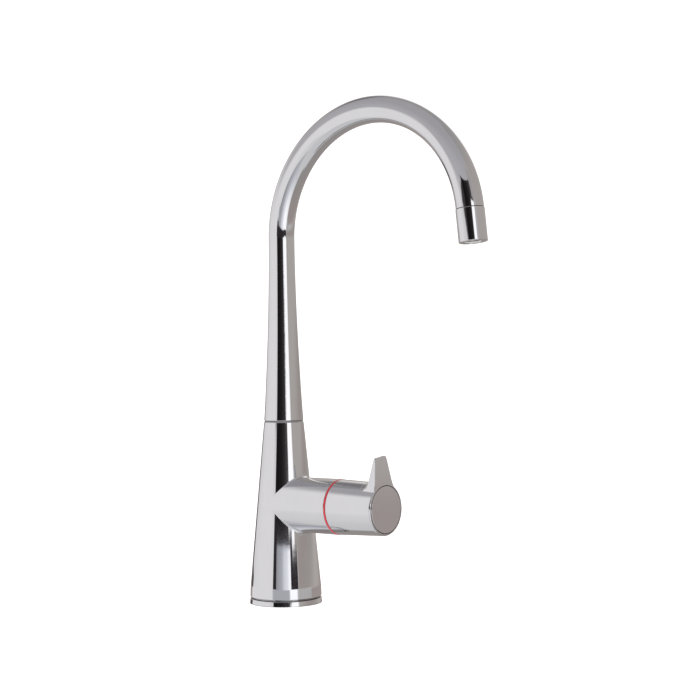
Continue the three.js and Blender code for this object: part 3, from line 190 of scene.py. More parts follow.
collar = cone_radius(BODY_BOTTOM) - BODY_WALL - CLEARANCE
base_outline = [
    (BASE_BORE, 0, FINE_EDGE),
    (GASKET_INNER, 0),
    (GASKET_INNER, GASKET_HEIGHT),
    (GASKET_OUTER, GASKET_HEIGHT),
    (GASKET_OUTER, 0),
    (BASE_RADIUS, 0, 0.25),
    (BASE_RADIUS - BASE_LEAN * BASE_HEIGHT, BASE_HEIGHT, 0.35),
    (BASE_RADIUS - GROOVE_DEPTH, BASE_HEIGHT),
    (BASE_RADIUS - GROOVE_DEPTH, BODY_BOTTOM),
    (collar, BODY_BOTTOM),
    (collar - CONE_SLOPE * COLLAR_HEIGHT, BODY_BOTTOM + COLLAR_HEIGHT, EDGE),
    (BASE_BORE, BODY_BOTTOM + COLLAR_HEIGHT, EDGE),
]
base_ring = skin("base_ring_turned", turned(rounded(base_outline), full_circle(TURNS)))


def linear(hexadecimal):
    """An sRGB hex colour as the linear colour that a shader takes."""
    parts = [int(hexadecimal[i : i + 2], 16) / 255 for i in (1, 3, 5)]
    return (*[c / 12.92 if c <= 0.04045 else ((c + 0.055) / 1.055) ** 2.4 for c in parts], 1)


def add_node(tree, kind, links=None, **settings):
    """A shader node with its settings, and its inputs set to values or linked to other nodes'
    outputs."""
    made = tree.nodes.new("ShaderNode" + kind)
    for name, value in settings.items():
        setattr(made, name, value)
    for name, value in (links or {}).items():
        if isinstance(value, bpy.types.NodeSocket):
            tree.links.new(value, made.inputs[name])
        else:
            made.inputs[name].default_value = value
    return made


def new_material(name):
    made = bpy.data.materials.new(name)
    made.use_nodes = True
    made.node_tree.nodes.clear()
    return made, made.node_tree


def drifting(tree, place, size, detail, darker, lighter, roughness=0.5):
    """A colour that drifts between two shades in patches of a size in millimetres. Returns the
    patches and the colour."""
    scale = 1 / (size * MM)
    cloud = {"Vector": place, "Scale": scale, "Detail": detail, "Roughness": roughness}
    patches = add_node(tree, "TexNoise", cloud).outputs["Fac"]
    shades = {"Factor": patches, "A": linear(darker), "B": linear(lighter)}
    made = add_node(tree, "Mix", shades, data_type="RGBA")
    return patches, made.outputs["Result"]


def surfaced(tree, texture, strength, depth, **inputs):
    """Ends a material: a texture raises the surface by up to a depth in millimetres, and the
    shader's other inputs are given by name."""
    relief = {"Height": texture, "Strength": strength, "Distance": depth * MM}
    bump = add_node(tree, "Bump", relief).outputs["Normal"]
    surface = {"Normal": bump, **{name.replace("_", " "): value for name, value in inputs.items()}}
    shader = add_node(tree, "BsdfPrincipled", surface)
    add_node(tree, "OutputMaterial", {"Surface": shader.outputs["BSDF"]})


# The sizes in millimetres of the film's patches and of the buffed waves, and how near a wall has to
# be for the plate's colour to be darkened with painted shade.
FILM_SIZE = 16.667
WAVE_SIZE = 11.111
WAVE_RELIEF = 0.5
GAP_SHADE_REACH = 2


def polished_chrome():
    """Bright chrome plate over polished brass: a cool grey mirror. Buffing leaves it very slightly
    wavy, and handling leaves a faint film that softens some patches. Deep in gaps its colour is
    darkened to near black, a painted shade."""
    made, tree = new_material("polished_chrome_plate")
    place = add_node(tree, "TexCoord").outputs["Object"]
    film, tint = drifting(tree, place, FILM_SIZE, 5.0, "#dfe0e2", "#e8e8e9", roughness=0.6)
    # Painted shade: where walls close round, deep in gaps and grooves, the colour darkens towards
    # near black.
    opening = add_node(tree, "AmbientOcclusion", {"Distance": GAP_SHADE_REACH * MM}, samples=8)
    run = {"Value": opening.outputs["AO"], "From Min": 0.7, "From Max": 0.35}
    gap = add_node(tree, "MapRange", run, interpolation_type="SMOOTHSTEP")
    open_to_painted_shade = {"Factor": gap.outputs["Result"], "A": tint, "B": linear("#312f30")}
    tint = add_node(tree, "Mix", open_to_painted_shade, data_type="RGBA").outputs["Result"]
    run = {"Value": film, "From Min": 0.3, "From Max": 0.7, "To Min": 0.03, "To Max": 0.06}
    rough = add_node(tree, "MapRange", run).outputs["Result"]
    swell = {"Vector": place, "Scale": 1 / (WAVE_SIZE * MM), "Detail": 2.0}
    wave = add_node(tree, "TexNoise", swell).outputs["Fac"]
    surfaced(tree, wave, 0.02, WAVE_RELIEF, Base_Color=tint, Metallic=1.0, Roughness=rough)
    return made


chrome = polished_chrome()


def fit(piece, body, slot, material, *nodes):
    piece.data.materials.append(material)
    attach(piece, body)
    if nodes:
        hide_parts(*nodes)


fit(base_ring, "body", "chrome", chrome, "base_ring")

# ---------------------------------------------------------------- body
# A brass casting, ground and chromed: a slender cone with the valve's arm growing out of its front.
# The joint between the two is a small fillet, as a ball rolled round it leaves.
BODY_TOP = 124.7
HEM_TOP = 12
HEM_LEAN = math.tan(math.radians(2.1))
HEM_ROUNDING = 30
WEB_BOTTOM = 38
SOCKET_BOTTOM = 100.5
SOCKET_RADIUS = 9.31
ARM_HEIGHT = 68.1
ARM_RADIUS = cone_radius(ARM_HEIGHT) - 0.325
ARM_LENGTH = 50.9
ARM_BORE = ARM_RADIUS - 3.5
ARM_STEP = 38.9
CHAMBER_RADIUS = 12.7
CHAMBER_END = 9
ARM_FILLET = 1.6
STUD_OFFSET = 13.2
STUD_HOLE = 3.4
STUD_BOSS = 4.8
STUD_FACE = 37
STUD_TOP = 52
INLET_HOLE = 6.3
INLET_TOP = 48
CLOSER_TO_HOLE = 1.4


def spread(*stops):
    """Values from stop to stop. Each stop after the first is (value, steps)."""
    made = [stops[0]]
    for value, steps in stops[1:]:
        start = made[-1]
        made += [start + (value - start) * (i + 1) / steps for i in range(steps)]
    return made


def moved(grids, place):
    """The grids in another place, given as a matrix."""
    turn = place.to_3x3()
    return [[[(place @ a, turn @ b) for a, b in row] for row in rows] for rows in grids]


def pierced(surface, angles, heights, window, hole, steps):
    """A turned wall with a hole: the plain grid, its cells to leave out, and the grid from the
    hole's edge to the window's, with the ways round the hole that its points lie at."""
    left, right, low, high = window
    border = [(i, low) for i in range(left, right)]
    border += [(right, k) for k in range(low, high)]
    border += [(i, high) for i in range(right, left, -1)]
    border += [(left, k) for k in range(high, low, -1)]
    count = len(angles)
    step = 2 * math.pi / count
    middle_angle = angles[0] + step * (left + right) / 2
    middle_height = (heights[low] + heights[high]) / 2
    radius = surface(middle_angle, middle_height)[0].xy.length
    edge, ways = [], []
    for i, k in border:
        angle = angles[0] + step * i
        edge.append((angle, heights[k]))
        ways.append(math.atan2((angle - middle_angle) * radius, heights[k] - middle_height))
    near = [hole(way) for way in ways]
    ring = []
    for s in range(steps + 1):
        share = (s / steps) ** CLOSER_TO_HOLE
        pairs = zip(near, edge)
        ring.append([surface(a + (b - a) * share, c + (d - c) * share) for (a, c), (b, d) in pairs])
    wall = [[surface(angle, height) for angle in angles] for height in heights]
    gone = {(k, i % count) for k in range(low, high) for i in range(left, right)}
    return wall, gone, ring, ways


def cone_surface(angle, z):
    radius = cone_radius(z)
    point = Vector((radius * math.cos(angle), radius * math.sin(angle), z))
    return point, Vector((math.cos(angle), math.sin(angle), CONE_SLOPE)).normalized()


CONE_ANGLE = math.atan(CONE_SLOPE)


def fillet_ball(way):
    """The ball's centre at a way round the arm, and the directions from it to the arm and to the
    cone."""
    x = (ARM_RADIUS + ARM_FILLET) * math.sin(way)
    z = ARM_HEIGHT + (ARM_RADIUS + ARM_FILLET) * math.cos(way)
    reach = cone_radius(z) + ARM_FILLET / math.cos(CONE_ANGLE)
    centre = Vector((x, -math.sqrt(reach * reach - x * x), z))
    to_arm = Vector((-math.sin(way), 0, -math.cos(way)))
    inward = Vector((-centre.x, -centre.y, 0)).normalized() * math.cos(CONE_ANGLE)
    return centre, to_arm, inward - Vector((0, 0, math.sin(CONE_ANGLE)))


def fillet_on_cone(way):
    centre, _, to_cone = fillet_ball(way)
    touch = centre + to_cone * ARM_FILLET
    angle = math.atan2(touch.y, touch.x)
    if angle > math.pi / 2:
        angle -= 2 * math.pi
    return angle, touch.z


circle = full_circle(TURNS)
WINDOW_LOW, WINDOW_HIGH, WINDOW_ROWS = 34, 101, 36
WINDOW_HALF = 56
FILLET_STEPS = 8
heights = spread(WINDOW_LOW, (WINDOW_HIGH, WINDOW_ROWS))
columns = [angle - math.pi * 1.5 for angle in circle]
window = (TURNS // 2 - WINDOW_HALF, TURNS // 2 + WINDOW_HALF, 0, WINDOW_ROWS)
wall, gone, ring, ways = pierced(cone_surface, columns, heights, window, fillet_on_cone, 12)
fillet_rows = []
for j in range(FILLET_STEPS + 1):
    row = []
    for way in ways:
        centre, to_arm, to_cone = fillet_ball(way)
        direction = to_cone.slerp(to_arm, j / FILLET_STEPS)
        row.append((centre + direction * ARM_FILLET, -direction))
    fillet_rows.append(row)


arm_rows = []
for share in (0, 0.25, 0.5, 0.75, 1):
    row = []
    for (point, _), way in zip(fillet_rows[-1], ways):
        ahead = Vector((0, (EDGE - ARM_LENGTH - point.y) * share, 0))
        row.append((point + ahead, Vector((math.sin(way), 0, math.cos(way)))))
    arm_rows.append(row)
ARM_FRAME = Matrix.Translation((0, 0, ARM_HEIGHT)) @ Matrix.Rotation(math.pi / 2, 4, "X")
arm_outline = [
    (ARM_RADIUS, ARM_STEP),
    (ARM_RADIUS, ARM_LENGTH, EDGE),
    (ARM_BORE, ARM_LENGTH, FINE_EDGE),
    (ARM_BORE, ARM_STEP),
    (CHAMBER_RADIUS, ARM_STEP),
    (CHAMBER_RADIUS, CHAMBER_END),
    (0, CHAMBER_END),
]
arm_spans = rounded(arm_outline, closed=False)[1:]
arm_grids = moved(turned(arm_spans, [math.pi / 2 - way for way in ways]), ARM_FRAME)

body_outline = [
    (cone_radius(HEM_TOP) + HEM_LEAN * (HEM_TOP - BODY_BOTTOM), BODY_BOTTOM, 0.25),
    (cone_radius(HEM_TOP), HEM_TOP, HEM_ROUNDING),
    (cone_radius(WINDOW_LOW), WINDOW_LOW),
    (cone_radius(WINDOW_HIGH), WINDOW_HIGH),
    (cone_radius(BODY_TOP), BODY_TOP, 0.35),
    (SOCKET_RADIUS, BODY_TOP, EDGE),
    (SOCKET_RADIUS, SOCKET_BOTTOM),
    (0, SOCKET_BOTTOM),
    (0, INLET_TOP),
    (INLET_HOLE, INLET_TOP),
    (INLET_HOLE, WEB_BOTTOM),
    (cone_radius(WEB_BOTTOM) - BODY_WALL, WEB_BOTTOM),
    (cone_radius(BODY_BOTTOM) - BODY_WALL, BODY_BOTTOM),
]


def web_surface(angle, radius):
    point = Vector((radius * math.cos(angle), radius * math.sin(angle), WEB_BOTTOM))
    return point, Vector((0, 0, -1))


def stud_boss_edge(way):
    x, y = -STUD_BOSS * math.sin(way), STUD_OFFSET + STUD_BOSS * math.cos(way)
    return math.atan2(y, x), math.hypot(x, y)


WEB_ROWS = 12
WEB_HALF = 16
web_edge = cone_radius(WEB_BOTTOM) - BODY_WALL
web_radii = spread(INLET_HOLE, (web_edge, WEB_ROWS))
window = (TURNS // 4 - WEB_HALF, TURNS // 4 + WEB_HALF, 0, WEB_ROWS)
web, web_gone, web_ring, stud_ways = pierced(
    web_surface, circle, web_radii, window, stud_boss_edge, 5
)
stud_outline = [
    (0, STUD_TOP),
    (STUD_HOLE, STUD_TOP),
    (STUD_HOLE, STUD_FACE),
    (STUD_BOSS, STUD_FACE),
    (STUD_BOSS, WEB_BOTTOM),
]
stud = turned(rounded(stud_outline, closed=False), [math.pi / 2 + way for way in stud_ways])
stud_grids = moved(stud, Matrix.Translation((0, STUD_OFFSET, 0)))

body_grids = []
cells_out = set()
for span in rounded(body_outline):
    start, end = span[0][1], span[-1][1]
    if (start, end) == (WINDOW_LOW, WINDOW_HIGH):
        cells_out |= {(len(body_grids), k, i) for k, i in gone}
        body_grids.append(wall)
    elif (start, end) == (WEB_BOTTOM, WEB_BOTTOM):
        cells_out |= {(len(body_grids), k, i) for k, i in web_gone}
        body_grids.append(web)
    else:
        body_grids.append(turned([span], circle)[0])
grids = [*body_grids, ring, fillet_rows, web_ring, *stud_grids, arm_rows, *arm_grids]
tap_body = skin("tap_body_casting", grids, left_out=cells_out)
fit(tap_body, "body", "chrome", chrome, "tap_body")

# ---------------------------------------------------------------- inlet and swivel post
# Free-cutting brass, turned on a lathe and left bare: the hose connector under the body, and the
# post that the spout turns on. The valve's cartridge, its nut and spindle and the spout's fittings
# are made alike.
TARNISH_SIZE = 9
MARK_LENGTH = 25
MARK_PITCH = 0.4
MARK_DEPTH = 0.02


def turned_brass(name, axis):
    """Bare turned brass: a warm yellow, a little tarnished in patches, with the tool's marks
    running round the axis that it was turned on. The marks are 0.1 mm apart, drawn at 0.4 mm so
    that they show."""
    made, tree = new_material(name)
    place = add_node(tree, "TexCoord").outputs["Object"]
    _, tint = drifting(tree, place, TARNISH_SIZE, 4.0, "#c9ab66", "#a98a4c")
    pitch = [1 / (MARK_LENGTH * MM)] * 3
    pitch[axis] = 1 / (MARK_PITCH * MM)
    along = add_node(tree, "Mapping", {"Vector": place, "Scale": pitch}).outputs["Vector"]
    cut = {"Vector": along, "Scale": 1.0, "Detail": 3.0}
    marks = add_node(tree, "TexNoise", cut).outputs["Fac"]
    run = {"Value": marks, "To Min": 0.22, "To Max": 0.4}
    rough = add_node(tree, "MapRange", run).outputs["Result"]
    surfaced(tree, marks, 0.35, MARK_DEPTH, Base_Color=tint, Metallic=1.0, Roughness=rough)
    return made


def finish(material, *nodes):
    """Gives its real finish to each solid that is shown as it is."""
    for node in nodes:
        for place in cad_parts[node].material_slots:
            place.material = material


upright_brass = turned_brass("brass_turned_upright", 2)
finish(upright_brass, "inlet_connector", "swivel_post", "spout_foot_bush", "outlet_fitting")
finish(turned_brass("brass_turned_lying", 1), "cartridge_housing", "gland_nut", "valve_spindle")

# ---------------------------------------------------------------- bearing rings
# Two moulded acetal rings that the spout turns on. The lower one is grey and fills the seam between
# body and spout, where it shows as a fine dark line. The upper one is white and snaps into the
# post's groove.
SEAM_BORE = 8.81
SEAM_RADIUS = 13.5
SEAM_TOP = 125.6
SEAM_LIFT = 0.02
SEAM_EDGE = 0.15


def moulded(name, darker, lighter, roughness, gloss, mottle, grain, relief):
    """A moulded finish: a colour that drifts a little between two shades over mottle millimetres,
    and a grain from the mould with its size and relief in millimetres. gloss is the material's
    IOR."""
    made, tree = new_material(name)
    place = add_node(tree, "TexCoord").outputs["Object"]
    _, tint = drifting(tree, place, mottle, 4.0, darker, lighter)
    texture = {"Vector": place, "Scale": 1 / (grain * MM), "Detail": 2.0}
    pores = add_node(tree, "TexNoise", texture).outputs["Fac"]
    run = {"Value": pores, "To Min": roughness - 0.05, "To Max": roughness + 0.05}
    rough = add_node(tree, "MapRange", run).outputs["Result"]
    surfaced(tree, pores, 0.5, relief, Base_Color=tint, Roughness=rough, IOR=gloss)
    return made


# Grey acetal from a polished mould: satin, with a soft highlight. Its grey is painted a little
# darker than the plastic's own, as shade in the seam that it sits in.
grey_acetal = moulded("grey_acetal_moulded", "#7c7b7e", "#8b8a8d", 0.35, 1.48, 3, 0.3, 0.005)
seam_outline = [
    (SEAM_BORE, BODY_TOP + SEAM_LIFT),
    (SEAM_RADIUS, BODY_TOP + SEAM_LIFT, SEAM_EDGE),
    (SEAM_RADIUS, SEAM_TOP, SEAM_EDGE),
    (SEAM_BORE, SEAM_TOP),
]
seam_ring = skin("lower_bearing_ring_moulded", turned(rounded(seam_outline), circle))
fit(seam_ring, "body", "grey_plastic", grey_acetal, "lower_bearing_ring")

# White acetal from the same kind of mould: satin and faintly warm, as the resin is without dye.
white_acetal = moulded("white_acetal_moulded", "#e2e0da", "#efede8", 0.38, 1.48, 4, 0.3, 0.005)
finish(white_acetal, "upper_bearing_ring", "spline_adapter")

# ---------------------------------------------------------------- seals
# Flat washers and O-rings of moulded rubber, black with carbon. They close the worktop, the inlet,
# the swivel, the valve, the end cap and the nozzle.

# Cured rubber is matt and very slightly mottled by dust and grease, with a fine grain from the
# mould.
black_rubber = moulded("black_rubber_moulded", "#18181a", "#262628", 0.75, 1.52, 2.5, 0.25, 0.02)
finish(black_rubber, "base_gasket", "inlet_washer", "post_washer", "nozzle_washer", "seat_seal")
for seat in ("lower_swivel", "upper_swivel", "cartridge", "spindle", "cap", "nozzle"):
    finish(black_rubber, seat + "_o_ring")

# ---------------------------------------------------------------- valve discs
# Two discs of alumina ceramic, fired, ground flat and lapped. One stays and one turns with the
# spindle.

# Lapped alumina is an even ivory white, smooth and glossy, with a faint cloud in it from the
# firing.
alumina = moulded("alumina_lapped", "#ece9e1", "#f6f4ee", 0.18, 1.76, 2, 0.15, 0.001)
finish(alumina, "fixed_ceramic_disc", "moving_ceramic_disc")

# ---------------------------------------------------------------- screws and clips
# Stainless steel, left plain: the handle's screw and the stop screw are cold headed, and the
# spindle's clip and the hose's clips are rolled from strip. They are tumbled, which leaves them
# satin.
CLOUD_SIZE = 1.5
DENT_SIZE = 0.5
DENT_DEPTH = 0.01
steel, tree = new_material("stainless_steel_tumbled")
place = add_node(tree, "TexCoord").outputs["Object"]
cloud, tint = drifting(tree, place, CLOUD_SIZE, 5.0, "#b9babb", "#cdced0")
run = {"Value": cloud, "To Min": 0.2, "To Max": 0.45}
rough = add_node(tree, "MapRange", run).outputs["Result"]
dented = {"Vector": place, "Scale": 1 / (DENT_SIZE * MM), "Detail": 2.0}
dents = add_node(tree, "TexNoise", dented).outputs["Fac"]
surfaced(tree, dents, 0.3, DENT_DEPTH, Base_Color=tint, Metallic=1.0, Roughness=rough)
finish(steel, "handle_screw", "spindle_clip", "swivel_stop_screw")
finish(steel, "lower_hose_clip", "upper_hose_clip")

# ---------------------------------------------------------------- inner hose
# A silicone hose inside the spout, extruded and cured, held on its barbs by the two clips. It keeps
# the boiling water off the chromed tube.

# Cured silicone is milky and dull, and its colour is a little uneven where it is thin.
milky_silicone = moulded("milky_silicone_extruded", "#e3ddd0", "#efeae0", 0.55, 1.41, 6, 0.4, 0.01)
finish(milky_silicone, "inner_hose")

# ---------------------------------------------------------------- spout
# A swaged brass tube, polished and chromed: it flares down to the body's width and bends round in a
# swan neck. The stop screw comes in from behind, through a hole in its foot.
SPOUT_BOTTOM = 125.8
TUBE_RADIUS = 9
TUBE_WALL = 1.2
ARCH_START = 252
ARCH_RADIUS = 80
ARCH_SWEEP = 174
BEND_SOFTNESS = 2
FLARE = 1.82
SCREW_HEIGHT = 132.1
SCREW_HOLE = 2.7
SCREW_CLEAR = 4.5
FOOT_BAND = 2
SPOUT_TURNS = 96
SCREW_ROWS = 12
SCREW_COLUMNS = 8
NECK_ROWS = 44
ARCH_ROWS = 87
BORE_ROWS = 44
SLOPE_STEP = 0.01


def neck_radius(z):
    share = max((ARCH_START - z) / (ARCH_START - SPOUT_BOTTOM), 0)
    return TUBE_RADIUS + (FOOT_RADIUS - TUBE_RADIUS) * share**FLARE


def eased_turn(along):
    """How far the tube has turned, in radians, at a distance along it from the arch's start. The
    polish softens the start of the bend, so the turn that the light sees begins a little early."""
    if along < -BEND_SOFTNESS:
        return 0
    if along < BEND_SOFTNESS:
        return (along + BEND_SOFTNESS) ** 2 / (4 * BEND_SOFTNESS * ARCH_RADIUS)
    return along / ARCH_RADIUS


def neck_surface(inset=0):
    def surface(angle, z):
        radius = neck_radius(max(z, SPOUT_BOTTOM)) - inset
        slope = (neck_radius(z - SLOPE_STEP) - neck_radius(z + SLOPE_STEP)) / (2 * SLOPE_STEP)
        point = Vector((radius * math.cos(angle), radius * math.sin(angle), z))
        normal = Vector((math.cos(angle), math.sin(angle), slope)).normalized()
        normal = Matrix.Rotation(eased_turn(z - ARCH_START), 3, "X") @ normal
        return point, normal if inset == 0 else -normal

    return surface


def screw_hole(inset):
    def edge(way):
        x = SCREW_HOLE * math.sin(way)
        z = SCREW_HEIGHT + SCREW_HOLE * math.cos(way)
        return math.acos(-x / (neck_radius(z) - inset)), z

    return edge


def arch_row(turn, radius, angles, side=1):
    """A row round the tube where the arch has turned by an angle. side is -1 for the bore."""
    t = math.radians(turn)
    forward, upward = ARCH_RADIUS * (1 - math.cos(t)), ARCH_RADIUS * math.sin(t)
    centre = Vector((0, -forward, ARCH_START + upward))
    tilt = Matrix.Rotation(eased_turn(ARCH_RADIUS * t), 3, "X")
    place = Matrix.Rotation(t, 3, "X")
    row = []
    for angle in angles:
        out = Vector((math.cos(angle), math.sin(angle), 0))
        row.append((centre + place @ out * radius, tilt @ out * side))
    return row


spout_angles = [angle - math.pi for angle in full_circle(SPOUT_TURNS)]
behind = SPOUT_TURNS * 3 // 4
screw_window = (behind - SCREW_COLUMNS, behind + SCREW_COLUMNS, 0, SCREW_ROWS)
cut_low, cut_high = SCREW_HEIGHT - SCREW_CLEAR, SCREW_HEIGHT + SCREW_CLEAR
screw_heights = spread(cut_low, (cut_high, SCREW_ROWS))
foot_outline = [
    (FOOT_RADIUS - TUBE_WALL, SPOUT_BOTTOM + FOOT_BAND),
    (FOOT_RADIUS - TUBE_WALL, SPOUT_BOTTOM),
    (neck_radius(SPOUT_BOTTOM), SPOUT_BOTTOM, EDGE),
    (neck_radius(SPOUT_BOTTOM + FOOT_BAND), SPOUT_BOTTOM + FOOT_BAND),
]
foot_spans = rounded(foot_outline, closed=False)
foot_grids = turned([foot_spans[1], foot_spans[2]], spout_angles)
spout_grids = list(foot_grids)
cells_out = set()
hole_edges = []
for inset in (0, TUBE_WALL):
    surface = neck_surface(inset)
    wall, gone, ring, ways = pierced(
        surface, spout_angles, screw_heights, screw_window, screw_hole(inset), 5
    )
    cells_out |= {(len(spout_grids), k, i) for k, i in gone}
    spout_grids += [wall, ring]
    hole_edges.append(ring[0])
    foot_rows = [[surface(a, z) for a in spout_angles] for z in (SPOUT_BOTTOM, cut_low)]
    if inset == 0:
        foot_rows[0] = foot_grids[1][-1]
    spout_grids.append(foot_rows)
    neck_heights = spread(cut_high, (ARCH_START, NECK_ROWS))
    spout_grids.append([[surface(a, z) for a in spout_angles] for z in neck_heights])
hole_wall = []
for rim in hole_edges:
    row = []
    for point, _ in rim:
        inward = Vector((0, 0, SCREW_HEIGHT)) - Vector((point.x, 0, point.z))
        row.append((point, inward.normalized()))
    hole_wall.append(row)
spout_grids.append(hole_wall)
outer_rows, bore_rows = [], []
for k in range(ARCH_ROWS + 1):
    outer_rows.append(arch_row(ARCH_SWEEP * k / ARCH_ROWS, TUBE_RADIUS, spout_angles))
for k in range(BORE_ROWS + 1):
    turn = ARCH_SWEEP * k / BORE_ROWS
    bore_rows.append(arch_row(turn, TUBE_RADIUS - TUBE_WALL, spout_angles, -1))
sweep = math.radians(ARCH_SWEEP)
reach, height = ARCH_RADIUS * (1 - math.cos(sweep)), ARCH_START + ARCH_RADIUS * math.sin(sweep)
tube_end = Matrix.Translation((0, -reach, height)) @ Matrix.Rotation(sweep - math.pi, 4, "X")
end_way = tube_end.to_3x3() @ Vector((0, 0, -1))
end_face = []
for radius in (TUBE_RADIUS, TUBE_RADIUS - TUBE_WALL):
    end_face.append([(point, end_way) for point, _ in arch_row(ARCH_SWEEP, radius, spout_angles)])
spout_grids += [outer_rows, bore_rows, end_face]
spout_neck = skin("spout_swan_neck", spout_grids, left_out=cells_out)
fit(spout_neck, "spout", "chrome", chrome, "spout_neck")

# ---------------------------------------------------------------- nozzle
# A turned brass sleeve, polished and chromed, on the end of the tube. It stands out from the tube
# by a hair, and a fine dark line parts the two: the seam between them, darkened by the chrome's
# painted shade in gaps.
NOZZLE_RADIUS = 9.25
NOZZLE_BORE = 7.45
NOZZLE_MOUTH = 6.55
NOZZLE_LENGTH = 21.6
NOZZLE_SEAM = 0.35
LIP_HEIGHT = 1.5
nozzle_outline = [
    (NOZZLE_BORE, -NOZZLE_SEAM, 0.15),
    (NOZZLE_BORE, LIP_HEIGHT - NOZZLE_LENGTH),
    (NOZZLE_MOUTH, LIP_HEIGHT - NOZZLE_LENGTH, 0.2),
    (NOZZLE_MOUTH, -NOZZLE_LENGTH, 0.4),
    (NOZZLE_RADIUS, -NOZZLE_LENGTH, 0.45),
    (NOZZLE_RADIUS, -NOZZLE_SEAM, 0.3),
]
sleeve = turned(rounded(nozzle_outline), full_circle(SPOUT_TURNS))
nozzle = skin("nozzle_sleeve_turned", sleeve, tube_end)
fit(nozzle, "spout", "chrome", chrome, "nozzle_sleeve")

# A moulded acetal disc with 19 round holes sits in the sleeve's mouth and makes the stream run
# straight. The holes lie in two rings round the middle one.
STRAIGHTENER_RADIUS = 7.15
STRAIGHTENER_LOW = -19.8
STRAIGHTENER_HIGH = -14.8
HOLE_RADIUS = 0.95
HOLE_PITCH = 2.5
HOLE_TURNS = 24
mould = bmesh.new()
rims = [(0, 0, STRAIGHTENER_RADIUS, SPOUT_TURNS)]
for hole_ring, count in ((0, 1), (1, 6), (2, 12)):
    out = hole_ring * HOLE_PITCH
    for angle in full_circle(count):
        rims.append((out * math.cos(angle), out * math.sin(angle), HOLE_RADIUS, HOLE_TURNS))
for x, y, radius, count in rims:
    rim = []
    for angle in full_circle(count):
        point = (x + radius * math.cos(angle), y + radius * math.sin(angle), STRAIGHTENER_HIGH)
        rim.append(mould.verts.new(Vector(point) * MM))
    for i in range(count):
        mould.edges.new((rim[i - 1], rim[i]))
bmesh.ops.triangle_fill(mould, use_beauty=True, use_dissolve=False, edges=mould.edges[:])
drawn = bmesh.ops.extrude_face_region(mould, geom=mould.faces[:])["geom"]
depth = Vector((0, 0, STRAIGHTENER_LOW - STRAIGHTENER_HIGH)) * MM
drawn_verts = [part for part in drawn if isinstance(part, bmesh.types.BMVert)]
bmesh.ops.translate(mould, vec=depth, verts=drawn_verts)
bmesh.ops.recalc_face_normals(mould, faces=mould.faces[:])
disc = bpy.data.meshes.new("flow_straightener_moulded")
mould.to_mesh(disc)
mould.free()
disc.transform(Matrix.Translation(tube_end.translation * MM) @ tube_end.to_3x3().to_4x4())
disc.shade_smooth()
disc.set_sharp_from_angle(angle=math.radians(40))
straightener = placed("flow_straightener_moulded", disc)
fit(straightener, "spout", "white_plastic", white_acetal, "flow_straightener")

# ---------------------------------------------------------------- heat ring
# A moulded ring of glossy red plastic between the arm and the handle, which marks the tap as a
# boiling one.
RING_RADIUS = ARM_RADIUS - 0.15
RING_END = 52.2
HANDLE_BORE = 14.75
RING_FLANGE = 2.4
RING_COLLAR = HANDLE_BORE - 2 * CLEARANCE
RING_WALL = 2
RING_REACH = 4
ring_outline = [
    (RING_COLLAR - RING_WALL, ARM_LENGTH - RING_FLANGE),
    (ARM_BORE - CLEARANCE, ARM_LENGTH - RING_FLANGE),
    (ARM_BORE - CLEARANCE, ARM_LENGTH + SEAM_LIFT),
    (RING_RADIUS, ARM_LENGTH + SEAM_LIFT, FINE_EDGE),
    (RING_RADIUS, RING_END, EDGE),
    (RING_COLLAR, RING_END),
    (RING_COLLAR, RING_END + RING_REACH, EDGE),
    (RING_COLLAR - RING_WALL, RING_END + RING_REACH),
]

# Plastic dyed through and moulded glossy: a clear red, a little uneven, with a soft highlight.
red_plastic = moulded("red_plastic_moulded", "#c92a39", "#da3f4d", 0.3, 1.5, 4.5, 0.4, 0.005)
ring_grids = turned(rounded(ring_outline), circle)
heat_ring = skin("heat_ring_moulded", ring_grids, ARM_FRAME)
fit(heat_ring, "body", "red_plastic", red_plastic, "heat_indicator_ring")

# ---------------------------------------------------------------- handle
# A die-cast lever, polished and chromed. A thin fin grows up out of the front of a tapered barrel:
# its sides leave the rim along its tangent, and its back runs down into the barrel in a curve.
HANDLE_START = 52.5
HANDLE_END = 89.5
HANDLE_BACK = ARM_RADIUS - 0.2
HANDLE_FRONT = 17.35
HANDLE_EDGE = 1.2
HANDLE_LEAN = 8.5
RIM = HANDLE_FRONT - HANDLE_EDGE
FIN_REACH = 35.3
FIN_TIP_HALF = 5.8
FIN_TAPER = 0.19
FIN_TIP_THICKNESS = 1.5
FIN_ROOT_THICKNESS = 5.8
FIN_ROOT_HEIGHT = 4
FIN_HEEL = 7
FIN_CORNER = 2.2
FIN_BLEND_ANGLE = math.radians(38)
FIN_BLEND_HEIGHT = 3.2
FIN_EDGE = 0.35
HANDLE_FRAME = ARM_FRAME @ Matrix.Rotation(math.radians(HANDLE_LEAN), 4, "Z")
FIN_BACK_BLEND = 0.5
FIN_FOOT_BLEND = 0.7
TIP_STEEPNESS = 30
CAP_RADIUS = 15.6
CAP_GAP = 0.05
CAP_EDGE = 0.12
CAP_SEAT = 87.2
WELL_RADIUS = 13.8
WEB_FRONT = 69.1
WEB_BACK = 65.5
SCREW_PASSAGE = 2.3
HUB_BORE = 6.7
HUB_RADIUS = 8.9
HUB_START = HANDLE_START + 3


def barrel_radius(along):
    share = (along - HANDLE_START) / (HANDLE_END - HANDLE_EDGE - HANDLE_START)
    return HANDLE_BACK + (HANDLE_FRONT - HANDLE_BACK) * min(share, 1)


def bend(start, middle, end, steps):
    """Points along a quadratic curve."""
    made = []
    for i in range(steps + 1):
        t = i / steps
        made.append(start * (1 - t) ** 2 + middle * (2 * t * (1 - t)) + end * t * t)
    return made


